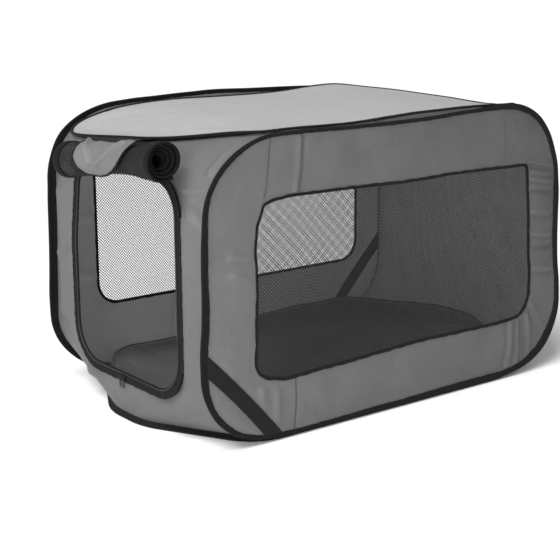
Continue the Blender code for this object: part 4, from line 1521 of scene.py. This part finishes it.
@dataclass
class DoorRoll:
    """The net door, rolled up over the doorway: a spiral sheet with a bound edge at each end and a tail to its seam."""

    finishes: Finishes
    turns: float = 3.875
    right_y: float = -0.230
    left_y: float = 0.107
    right_z: float = 0.538
    left_z: float = 0.503
    radius: float = 0.0362
    bore: float = 0.0125
    bare: float = 0.046
    recess: float = 0.022
    edge: float = 0.018
    edge_lift: float = 0.0016
    tail_turns: float = 0.12
    sunk: float = 0.0020
    seam_y: float = -0.025
    seam_reach: float = 0.110
    seam_z: float = 0.495
    back_x: float = -0.4553
    shares: tuple[float, ...] = (1.07, 1.02, 0.86, 0.78, 0.80, 0.88, 1.00, 1.06)

    def axis(self, y: Array) -> tuple[Array, Array, Array]:
        """Radius, x and z of the roll at each place across the front."""
        share = (y - self.right_y) / (self.left_y - self.right_y)
        fine = np.linspace(0, 1, 200)
        curve = np.interp(fine, np.linspace(0, 1, len(self.shares)), self.shares)
        kernel = np.exp(-((np.arange(-24, 25) / 11.0) ** 2))
        curve = np.convolve(np.pad(curve, 24, mode="edge"), kernel / kernel.sum(), mode="valid")
        radius = self.radius * np.interp(share, fine, curve)
        return radius, self.back_x - 0.0003 - radius, self.right_z + (self.left_z - self.right_z) * share

    def share_at(self, turns: Array) -> Array:
        """The spiral's outer radius after so many turns, as a share of the roll's radius."""
        start = self.bore / self.radius
        return start + (1 - start) * turns / self.turns

    def spiral(self, y: Array, lift: float) -> tuple[Array, Array]:
        """The sheet's middle line at each y, as (x, z) off the axis, then its tail.

        The line is a spiral of growing radius. Its tail goes up to the seam, and on round the roll beside the seam.

        Args:
            y: The places across the front.
            lift: How far the line lies outside the sheet's middle.

        Returns:
            Points by place along the spiral and y, and the distance along the spiral.
        """
        radius, _, z = self.axis(y)
        turns = np.linspace(0, self.turns - self.tail_turns, 190)
        angle = 2 * math.pi * turns
        wobble = 1 + 0.012 * np.sin(1.5 * angle[:, None] + 36 * y) * smooth(turns)[:, None]
        out = radius * (self.share_at(turns) - self.sunk / self.radius)[:, None] * wobble + lift
        x, up = np.cos(angle)[:, None] * out, np.sin(angle)[:, None] * out
        tail = np.linspace(0, 1, 14)[1:, None]
        tail_x = x[-1] + (radius - 0.0012 - x[-1]) * np.sin(tail * math.pi / 2)
        tail_up = up[-1] + (self.seam_z - z - up[-1]) * tail
        beside = smooth((np.abs(y - self.seam_y) - self.seam_reach) / 0.030)
        onward = angle[-1] + 0.5 * tail
        tucked = out[-1] * (1 - 0.05 * smooth(tail))
        tail_x += beside * (tucked * np.cos(onward) - tail_x)
        tail_up += beside * (tucked * np.sin(onward) - tail_up)
        points = np.stack([np.vstack([x, tail_x]), np.vstack([up, tail_up])], axis=-1)
        return points, run_along(points[:, len(y) // 2])

    def placed(self, points: Array, y: Array) -> Array:
        """Spiral points carried onto the roll's axis, the inner turns pushed in from the right end."""
        _, x, z = self.axis(y)
        depth = 1 - np.linalg.norm(points, axis=-1) / self.radius
        across = y + self.recess * smooth(depth / 0.8) * smooth(1 - (y - self.right_y) / 0.06)
        return np.stack([x + points[..., 0], across, z + points[..., 1]], axis=-1)

    def build(self) -> None:
        """Builds the sheet and its two bound edges."""
        y = np.linspace(self.right_y + 0.002, self.left_y - 0.002, 110)
        points, run = self.spiral(y, 0.0)
        uv = np.stack(np.meshgrid(run, y, indexing="ij"), axis=-1)
        grid = self.placed(points, y)
        outer = (np.arange(len(run) - 1) > 150)[:, None]
        keep = outer | (y[:-1] < self.left_y - self.bare)[None, :]
        roll = Surface().add_grid(grid, uv, keep=keep).make("rolled_door_net")
        walled(dressed(roll, self.finishes.roll_net, Slot.NET), 0.0016)
        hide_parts("rolled_door")
        edges = []
        for name, start, inward, first in (("right", self.right_y, 1, 0), ("left", self.left_y, -1, 148)):
            step = np.linspace(start, start + inward * self.edge, 6)
            over, length = self.spiral(step, self.edge_lift)
            under, _ = self.spiral(step, -self.edge_lift)
            band = np.concatenate([self.placed(under, step)[:, ::-1], self.placed(over, step)], axis=1)
            band, length = band[first:], length[first:] - length[first]
            v = np.concatenate([-np.linspace(self.edge, 0.001, 6), np.linspace(0.001, self.edge, 6)])
            band_uv = np.stack(np.meshgrid(length, v, indexing="ij"), axis=-1)
            edge = Surface().add_grid(band, band_uv).make(f"rolled_door_{name}_tape")
            walled(dressed(edge, self.finishes.roll_tape, Slot.TAPE), 0.0008)
            edges.append(edge)
        for piece in (roll, *edges):
            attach(piece, "roof")
            sinks(piece, 0.575)


@dataclass
class KeeperFlap:
    """Cloth flap from the roof's nose round the front of the rolled door, with a bound lower edge."""

    finishes: Finishes
    roll: DoorRoll
    across: int = 80
    down: int = 44
    hinge_columns: int = 14
    clearance: float = 0.0022
    hoop_y: float = -0.095
    hoop_reach: float = 0.226
    lead: float = 0.22
    hangs_from: float = math.radians(178)
    bare_rows: int = 12
    lower_edge: tuple[tuple[float, float], ...] = (
        (-0.155, 98.0), (-0.140, 140.0), (-0.122, 176.0), (-0.104, 200.0), (-0.084, 216.0), (-0.058, 232.0),
        (-0.030, 240.0), (0.000, 228.0), (0.020, 204.0), (0.036, 168.0),
    )

    def hoop_front(self) -> Array:
        """The roof hoop's outer edge round the front, by rising y, in its real stance."""
        line = resampled(CRATE.plan_outline(), 2400, closed=True)
        line = line[line[:, 0] < 0]
        line = line[np.argsort(line[:, 1])]
        line = STANCE.roof(level(CRATE.roof_level, 1)(line, -0.0012))
        return line[np.argsort(line[:, 1])]

    def grid(self) -> tuple[Array, Array]:
        """The flap's points by place across and down, and their angle round the roll.

        Each line leaves the hoop, meets the roll's circle at its tangent, and goes round it to the lower edge.
        """
        share = np.linspace(0, 1, self.across)
        y = self.lower_edge[0][0] + (self.lower_edge[-1][0] - self.lower_edge[0][0]) * share
        top_y = self.hoop_y + self.hoop_reach * share
        hoop = self.hoop_front()
        start = np.column_stack([np.interp(top_y, hoop[:, 1], hoop[:, k]) for k in range(3)])
        radius, x, z = self.roll.axis(y)
        over = radius + self.clearance
        back, rise = start[:, 0] - x, start[:, 2] - z
        apart = np.hypot(back, rise)
        top = np.arctan2(rise, back) + np.arccos(np.clip(over / np.maximum(apart, over), -1, 1))
        last = np.maximum(np.radians(np.interp(y, *np.transpose(self.lower_edge))), top + 0.04)
        wrap = np.linspace(0, 1, self.down)[None, :]
        turn = top[:, None] + (last - top)[:, None] * np.clip((wrap - self.lead) / (1 - self.lead), 0, 1)
        fall = np.clip(turn - self.hangs_from, 0, None)
        hang = over[:, None] * (1 + 0.10 * fall)
        around = np.stack([x[:, None] + hang * np.cos(turn), np.broadcast_to(y[:, None], turn.shape),
                           z[:, None] + hang * np.sin(turn)], axis=-1)
        bridge = smooth(np.broadcast_to(np.clip(wrap / self.lead, 0, 1), turn.shape))[..., None]
        return start[:, None] * (1 - bridge) + around * bridge, turn

    def build(self) -> None:
        """Builds the cloth with its folds, and the tape over its free edge."""
        grid, turn = self.grid()
        flat = np.stack([grid[..., 1], turn * 0.04], axis=-1)
        share = np.linspace(0, 1, self.down)[None, :]
        creases = creases_from(
            (30, 66, -14, 134, 6, 1.4, 2.2), (-110, 82, -34, 138, 7, 1.4, -2), (20, 55, -12, 110, 10, -1.2),
            (-120, 60, -70, 100, 8, 1),
        )
        uneven = 3.2 * fold_lines(flat, creases) + Waves(41, 0.0016, 0.02, 0.12).at(flat)
        depth = smooth(share / 0.3) * (0.0012 + uneven)
        _, x, z = self.roll.axis(grid[..., 1])
        out = unit(np.stack([grid[..., 0] - x, np.zeros_like(x), grid[..., 2] - z], axis=-1))
        grid = grid + out * np.maximum(depth, -0.0008)[..., None]
        first = self.hinge_columns
        obj = Surface().add_grid(grid[:, first:], flat[:, first:]).make("flap_cloth")
        # The hinge strip is black hem tape, whose black also stands for the shadow under the roof hoop above the flap:
        # painted shadow.
        hinge = Surface().add_grid(grid[:, : first + 1], flat[:, : first + 1]).make("flap_hinge_cloth")
        for piece, finish, slot in ((obj, self.finishes.flap, Slot.LIGHT), (hinge, self.finishes.hem_and_painted_shadow, Slot.TAPE)):
            walled(dressed(piece, finish, slot), CRATE.cloth).modifiers[0].use_rim = False
            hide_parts("keeper_flap")
        bare = self.bare_rows
        edge, edge_out = (np.concatenate([a[0, bare:-1], a[:, -1], a[-1, -2 : bare - 1 : -1]]) for a in (grid, out))
        inner = np.concatenate([grid[4, bare:-1], grid[:, -5], grid[-5, -2 : bare - 1 : -1]])
        inward = inner - edge
        inward /= np.maximum(np.linalg.norm(inward, axis=1, keepdims=True), 1e-6)
        run = run_along(edge)
        reach = (0.0045, 0.0025, 0.0005, -0.0007, 0.0005, 0.0025, 0.0045)
        lift = (0.0010, 0.0010, 0.0009, 0.0, -0.0009, -0.0010, -0.0010)
        rows = np.stack([edge + inward * a + edge_out * b for a, b in zip(reach, lift)])
        v = np.array([0.0052, 0.0032, 0.0012, 0.0, -0.0012, -0.0032, -0.0052])
        uv = round_uv(run, v)
        tape = Surface().add_grid(rows, uv).make("flap_tape")
        walled(dressed(tape, self.finishes.edging, Slot.TAPE), 0.0007)
        max(area_of(grid), 0.3 * 0.240 * 0.110)
        for piece in (obj, tape):
            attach(piece, "flap")
            sinks(piece, 0.575)
        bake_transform(hinge)


@dataclass
class ZipHardware:
    """The two sliders at rest side by side in the middle of the sill, each with its pull."""

    finishes: Finishes
    spacing: float = 0.0110
    face_x: float = -0.4553
    z: float = 0.086
    half: float = 0.0040
    tall: float = 0.0032
    deep: float = 0.0026
    bridge_rise: float = 0.0028
    bridge_half: float = 0.0019
    eye_off: float = 0.0011

    def plate(self, name: str, outline: Array, front: float, back: float, round_off: float) -> Object:
        """A flat plate with eased edges: the outline's (y, z), shrunk a little at both faces."""
        depths = np.array([back, back, back - round_off * 0.4, front + round_off * 0.4, front, front])
        shrink = np.array([0.55 * np.abs(outline).max(), round_off, 0.0, 0.0, round_off, 0.55 * np.abs(outline).max()])
        centre = outline.mean(axis=0)
        reach = np.linalg.norm(outline - centre, axis=1, keepdims=True)
        rows = []
        for depth, cut in zip(depths, shrink):
            ring = centre + (outline - centre) * np.clip(1 - cut / reach, 0.02, 1)
            rows.append(np.column_stack([np.full(len(ring), depth), ring]))
        grid = np.stack(rows)
        uv = np.zeros((len(rows), len(outline) + 1, 2))
        return Surface().add_grid(grid, uv, loop_columns=True).make(name, merge=1e-7, outward=True)

    def build(self) -> None:
        """Builds each slider as a wedge-shouldered body with a bridge, and each pull as an eyed plate."""
        for name, side in (("right", RIGHT), ("left", LEFT)):
            y = side * self.spacing / 2
            shape = ((1, -0.75), (1, 0.75), (0, 1), (-1, 0.75), (-1, -0.75), (0, -1))
            corners = [(y + self.half * a, self.z + self.tall * b) for a, b in shape]
            outline = resampled(filleted(corners, [0.0010] * 6, 5), 60, closed=True)
            front = self.face_x - self.deep
            body = self.plate(f"{name}_slider_body", outline, front, self.face_x, 0.0006)
            dressed(body, self.finishes.zip_metal, Slot.ZIP)
            turn = np.linspace(0, math.pi, 19)
            around = np.linspace(0, 2 * math.pi, 11)[:-1]
            x, z = front - self.bridge_rise * np.sin(turn), self.z - self.bridge_half * np.cos(turn)
            ring = np.stack([
                np.column_stack([x - np.sin(turn) * 0.0004 * math.cos(a), np.full(19, y + 0.0008 * math.sin(a)),
                                 z - np.cos(turn) * 0.0004 * math.cos(a)]) for a in around])
            bridge = Surface().add_grid(ring, np.zeros((11, 19, 2)), loop_rows=True).make(
                f"{name}_slider_bridge", outward=True)
            dressed(bridge, self.finishes.zip_metal, Slot.ZIP)
            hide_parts(f"{name}_zip_slider")
            pull = self.pull(f"{name}_pull_plate", front - self.eye_off, y)
            dressed(pull, self.finishes.zip_metal, Slot.ZIP)
            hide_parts(f"{name}_zip_pull")
            for piece, body_name in ((body, f"{name}_slider"), (bridge, f"{name}_slider"), (pull, f"{name}_pull")):
                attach(piece, body_name)
                sinks(piece, 0.004)

    def pull(self, name: str, x: float, y: float) -> Object:
        """A flat pull: a rounded plate with an eye at its top for the bridge."""
        outer = resampled(filleted([(0.0030, -0.0214), (0.0030, 0.0006), (-0.0030, 0.0006), (-0.0030, -0.0214)],
                                   [0.0024, 0.0012, 0.0012, 0.0024], 8), 96, closed=True)
        eye = filleted([(0.0015, -0.0056), (0.0015, -0.0006), (-0.0015, -0.0006), (-0.0015, -0.0056)], [0.0012] * 4, 8)
        hub = np.array([0.0, -0.0031])
        ray = outer - hub
        near = radius_at(eye, hub, np.arctan2(ray[:, 1], ray[:, 0]))
        far = np.linalg.norm(ray, axis=1)
        heading = ray / far[:, None]
        rows = []
        face = ((0.02, 0.0003), (0.08, 0.00045), (0.5, 0.0005), (0.92, 0.0005), (0.98, 0.0003))
        back = tuple((share, -depth) for share, depth in face[::-1])
        for share, depth in ((0.0, 0.0), *face, (1.0, 0.0), *back):
            ring = hub + heading * (near + (far - near) * share)[:, None]
            rows.append(np.column_stack([np.full(len(ring), x - depth), y + ring[:, 0], self.z + ring[:, 1]]))
        uv = np.zeros((len(rows) + 1, len(outer) + 1, 2))
        return Surface().add_grid(np.stack(rows), uv, loop_rows=True, loop_columns=True).make(name, outward=True)


def aimed(place: Array, look: Array, roll: float = 0.0) -> Matrix:
    """World matrix of a camera or lamp that looks along a direction, turned about it by the roll."""
    look = unit(look)
    right = unit(np.cross(look, (0, 0, 1)))
    up = np.cross(right, look)
    c, s = math.cos(roll), math.sin(roll)
    matrix = np.eye(4)
    matrix[:3] = np.column_stack([c * right + s * up, c * up - s * right, -look, place])
    return Matrix(matrix.tolist())


@dataclass
class Studio:
    """Pale floor, soft light from above and in front, and the camera at the photograph's angle."""

    place: tuple[float, float, float] = (-1.7663, -2.2282, 0.9100)
    yaw: float = 0.9209
    pitch: float = -0.2419
    roll: float = -0.0067
    lens: float = 89.404

    def camera(self) -> None:
        """The camera, whose direction is worked out from yaw and pitch."""
        flat = math.cos(self.pitch)
        look = np.array([flat * math.cos(self.yaw), flat * math.sin(self.yaw), math.sin(self.pitch)])
        data = bpy.data.cameras.new("view of the crate")
        data.lens, data.sensor_width = self.lens, 36.0
        camera = linked("view of the crate", data)
        camera.matrix_world = aimed(np.array(self.place), look, self.roll)
        bpy.context.scene.camera = camera

    def floor(self) -> None:
        """A wide pale floor, half a millimetre below the crate."""
        reach = 40.0
        mesh = bpy.data.meshes.new("studio_floor")
        corners = ((-1, -1), (1, -1), (1, 1), (-1, 1))
        mesh.from_pydata([(a * reach, b * reach, -0.0005) for a, b in corners], [], [(0, 1, 2, 3)])
        g = Graph("pale floor")
        tone = g.mixed(g.noise(2.0), (0.93, 0.93, 0.93), (0.95, 0.95, 0.95))
        mesh.materials.append(g.finish(tone, 0.9))
        linked("studio_floor", mesh)

    def lights(self) -> None:
        """White surroundings, a wide sun from high in front of the door end, and a soft panel on the same side."""
        world = bpy.data.worlds.new("white surroundings")
        world.use_nodes = True
        ground = world.node_tree.nodes["Background"]
        ground.inputs["Color"].default_value = (1.0, 1.0, 1.0, 1.0)
        ground.inputs["Strength"].default_value = 0.38
        bpy.context.scene.world = world
        sun = bpy.data.lights.new("soft key", "SUN")
        sun.energy = 2.95
        sun.angle = math.radians(32)
        linked("soft key", sun).rotation_euler = (0.0, math.radians(-36), math.radians(20))
        panel = bpy.data.lights.new("soft panel", "AREA")
        panel.energy, panel.size = 55.0, 1.1
        linked("soft panel", panel).matrix_world = aimed(np.array([-2.9, -1.9, 1.1]), np.array([2.9, 1.6, -0.8]))
        bpy.context.scene.view_settings.view_transform = "Standard"

    def build(self) -> None:
        """Sets up floor, lights and camera."""
        self.floor()
        self.lights()
        self.camera()


# Outward moves of each side hoop's edge from its even outline, and the reach of its tape, in millimetres.
RIGHT_REACH = (
    -5, -8, -2, 5.5, 8.5, 8, 5.5, 3.5, 2, -0.5, -1.5, -2, -2, -1.5, -1, 0.5, 1, 1, 1, 0, -1, -2, -2, 1, 2, 2, 3.5, 7.5,
    7, 5.5, 6.5, 6, 2, *(0,) * 13, 3, 10, 15, 14.5, 14.5, 11.5, 4.5, 1.5, 0.5, 0,
)
RIGHT_BAND = (
    *(13,) * 5, 12, 9, *(7.5,) * 12, 9.5, 10, 10, 12, 14, 14, 16, 16, 16, 15, 12, 12, 10, 9, 9, 7.5, 8, 8.5, 9.5, 10.5,
    10, 11, 12, 13, 13.5, 13, 13, 14, 19, 22, 20, 16, 14, 14, 15.5, 16, 16,
)
LEFT_REACH = (
    *(0,) * 4, 1, 2, 3.8, 6, 7.7, 9.2, 10.7, 13, 14.4, 13.6, 12.7, 11.2, 10.2, 7.5, 6.2, 6.6, 6.1, -0.6, -2.9, -1.2,
    -0.4, 0.6, 2.4, 4.8, 4.2, 2, *(0,) * 26,
)
LEFT_BAND = (
    14, 14, 14, 13, 12, 10, *(9.5,) * 11, 10, 12, 14, 17, 19.5, *(21,) * 5, 20, 19, 17, 15, 13, 11, 10, *(9.5,) * 11,
    10, 11, 12, 13, *(14,) * 7,
)

# Places on the right window's cut edge, as (x, z) in millimetres.
RIGHT_WINDOW = (
    (321, 130.5), (340, 132.5), (354, 141), (363, 153), (371, 172), (371.5, 220), (366, 262), (363.5, 305), (362, 347),
    (357.5, 390), (354, 430), (351.5, 449.5), (298, 450), (256, 451.5), (213, 452), (171, 452.5), (128, 453),
    (86, 451.5), (44, 451), (1, 451), (-41, 452.5), (-84, 453.5), (-126, 454.5), (-169, 455), (-211, 455.5),
    (-254, 456.5), (-296, 453), (-318, 447.5), (-333.5, 409), (-338, 367), (-334.5, 324), (-334, 282), (-337, 239),
    (-336.5, 197), (-340, 155), (-331, 137), (-312.5, 127), (-273, 118.5), (-231, 120), (-188, 122.5), (-146, 122.5),
    (-103, 124), (-61, 126.5), (-19, 127.5), (24, 129.5), (66, 131), (109, 130.5), (151, 129.5), (194, 129.5),
    (236, 128.5), (279, 128.5),
)

# Moves of the roof hoop and its cloth: (x, y, move in x, y and z), and where it only rises or sinks, (x, y, move in z),
# all in millimetres.
ROOF_MOVES = (
    (-318, -268, 0, -4, 0), (-354, -242, -1, -4, -1), (-377, -204, 0, 1, -7), (-398, -165, -2, 3, -13),
    (-419, -126, -3, 6, -18), (-440, -87, -2, 10, -21), (-453, -44, -2, 13, -23), (-455, 0, -1, 16, -27),
    (-453, 44, -4, 19, -31), (-440, 87, -17, 24, -35), (-419, 126, -33, 32, -38), (-398, 165, -39, 38, -38),
    (-377, 204, -30, 34, -31), (-354, 242, -11, 17, -22), (-318, 268, 0, 1, -13.5),
)
ROOF_SAGS = (
    (-272, 277, -8), (-217, 277, -4), (-141, 277, -2.5), (-56, 277, -4.5), (65, 277, -6.5), (150, 277, -5),
    (215, 277, -1), (300, 275, 0), (-272, -277, 0.5), (-190, -277, -0.5), (-110, -277, -1.5), (-46, -277, 0.5),
    (0, -277, 2.5), (50, -277, 4.5), (100, -277, 5), (170, -277, 5.5), (242, -277, 4), (295, -275, 2), (338, -258, -2),
    (360, -236, -9), (380, -199, -15), (400, -162, -19), (420, -125, -21), (440, -88, -25), (454, -45, -27),
    (455, 0, -26), (454, 45, -24), (440, 88, -21), (420, 125, -17), (400, 162, -13), (380, 199, -10), (355, 242, -7),
    (-250, 0, -3), (0, 0, -2), (250, 0, -3),
)

# Seams and tucks of the side walls, each a dark line of painted shade in the cloth's colour with a groove in its bump:
# u at the foot, slant in u over v, and v of the foot and the head, in metres.
RIGHT_SEAMS_WITH_PAINTED_SHADE = (
    (-0.323, 0.147, 0.440, 0.580), (-0.249, 0.121, 0.440, 0.580), (0.285, 0.010, 0.440, 0.580),
    (-0.254, 0.035, 0.0, 0.118),
)
LEFT_SEAMS_WITH_PAINTED_SHADE = ((0.275, 0.0, 0.020, 0.158), (0.275, 0.0, 0.450, 0.580), (-0.275, 0.0, 0.450, 0.580))

# Folds of the walls, in each wall's own plane.
RIGHT_CREASES = creases_from(
    (-232, 580, -246, 450, 7.5, 0.4, -3.4), (-333, 110, -329, 26, 10, 1.8, 1.2), (-292, 104, -292, 22, 10, 1.6, -1.2),
    (-400, 362, -352, 352, 7, 1.6, 1.4), (-395, 335, -350, 315, 9, 1.4, -1), (358, 452, 440, 436, 6.5, 1, 4.6),
    (358, 424, 442, 412, 6, 1, -3.4), (360, 402, 450, 390, 6, 1.6, 4), (364, 345, 450, 340, 8, 1, 3.4),
    (364, 307, 450, 300, 7, 1.8, -3), (366, 280, 450, 277, 8, 1, 3.4), (368, 224, 450, 218, 9, 1.2, 3.6),
    (316, 126, 310, 15, 8, 1.2, 3.2), (343, 126, 347, 20, 6.5, 1, -3), (365, 132, 376, 30, 7, 1.4, 3.6),
    (375, 150, 425, 70, 9, 1.4, 3.6),
)
LEFT_CREASES = creases_from(
    (-200, 565, -208, 470, 6, 1, 2.2), (-400, 330, -350, 345, 9, 1.6, 1.2), (-400, 230, -352, 215, 10, 1.8, 1.2),
    (388, 390, 436, 400, 8, 1.8, 1.4), (388, 290, 440, 282, 10, 1.8, 1.4), (-150, 128, -155, 24, 10, 1.6, 1),
    (100, 128, 104, 24, 12, 1.6, -1),
)
FRONT_CREASES = creases_from(
    (-196, 478, -262, 486, 5, 1.8, 1.6), (-196, 466, -262, 424, 7.5, 2.4, 2.2), (-248, 560, -256, 505, 6, 2, -2),
    (-250, 524, -282, 500, 6.5, 2, 1.8), (-205, 222, -240, 226, 6, 1.4, 1), (-205, 188, -250, 196, 7, 1.6, 1.2),
    (-215, 330, -262, 345, 12, 1.8, 1), (200, 450, 262, 430, 10, 2, 1.4), (205, 300, 262, 280, 12, 1.8, 1.2),
    (120, 85, 180, 30, 12, 2, 1.4), (-120, 85, -180, 30, 12, 2, -1.4),
)
REAR_CREASES = creases_from(
    (250, 330, 120, 80, 20, 4.5, 3), (200, 400, 20, 70, 22, 4, 3), (120, 420, -110, 80, 24, 4.5, -3),
    (0, 440, -190, 150, 22, 3, 2.6), (-130, 430, -230, 250, 20, 3, 2), (230, 180, 180, 60, 14, 3, 2),
)


def main() -> None:
    """Builds every sub-assembly in order, then the studio."""
    logging.basicConfig(level=logging.INFO, format="%(name)s: %(message)s")
    finishes = Finishes()
    plan = CRATE.plan_outline()
    upward = (0.0, 0.0, 1.0)
    hoops = (
        HoopSleeve("base", "base", plan, level(CRATE.hoop_thickness / 2, -1), finishes, upward, (0, 0, 0.0025), 51),
        HoopSleeve("top", "roof", plan, level(CRATE.roof_level, 1), finishes, upward, (0, 0, 0.5775), 52, True, True,
                   stance=STANCE.roof),
        HoopSleeve("right", "right_side", CRATE.wall_outline(RIGHT, 640), upright(RIGHT), finishes, (0, 1, 0),
                   (0, -0.2795, 0), 53, True, side=RIGHT),
        HoopSleeve("left", "left_side", CRATE.wall_outline(LEFT, 640), upright(LEFT), finishes, (0, 1, 0),
                   (0, 0.2795, 0), 54, True, side=LEFT),
    )
    for hoop in hoops:
        hoop.build()
    SideWall("right", RIGHT, 0.118, FRONT, finishes, RIGHT_CREASES, 61, RIGHT_WINDOW).build()
    SideWall("left", LEFT, 0.156, REAR, finishes, LEFT_CREASES, 71, strap_above=0.128).build()
    Roof(finishes).build()
    FloorAndMat(finishes).build()
    EndWall("front_wall", "front_end_panel", FRONT, finishes, FRONT_CREASES, 81, doorway_outline()).build()
    EndWall("rear_wall", "rear_end_panel", REAR, finishes, REAR_CREASES, 91, fold=3.6).build()
    DoorTape(finishes).build()
    roll = DoorRoll(finishes)
    roll.build()
    KeeperFlap(finishes, roll).build()
    ZipHardware(finishes).build()
    Studio().build()


if __name__ == "__main__":
    main()
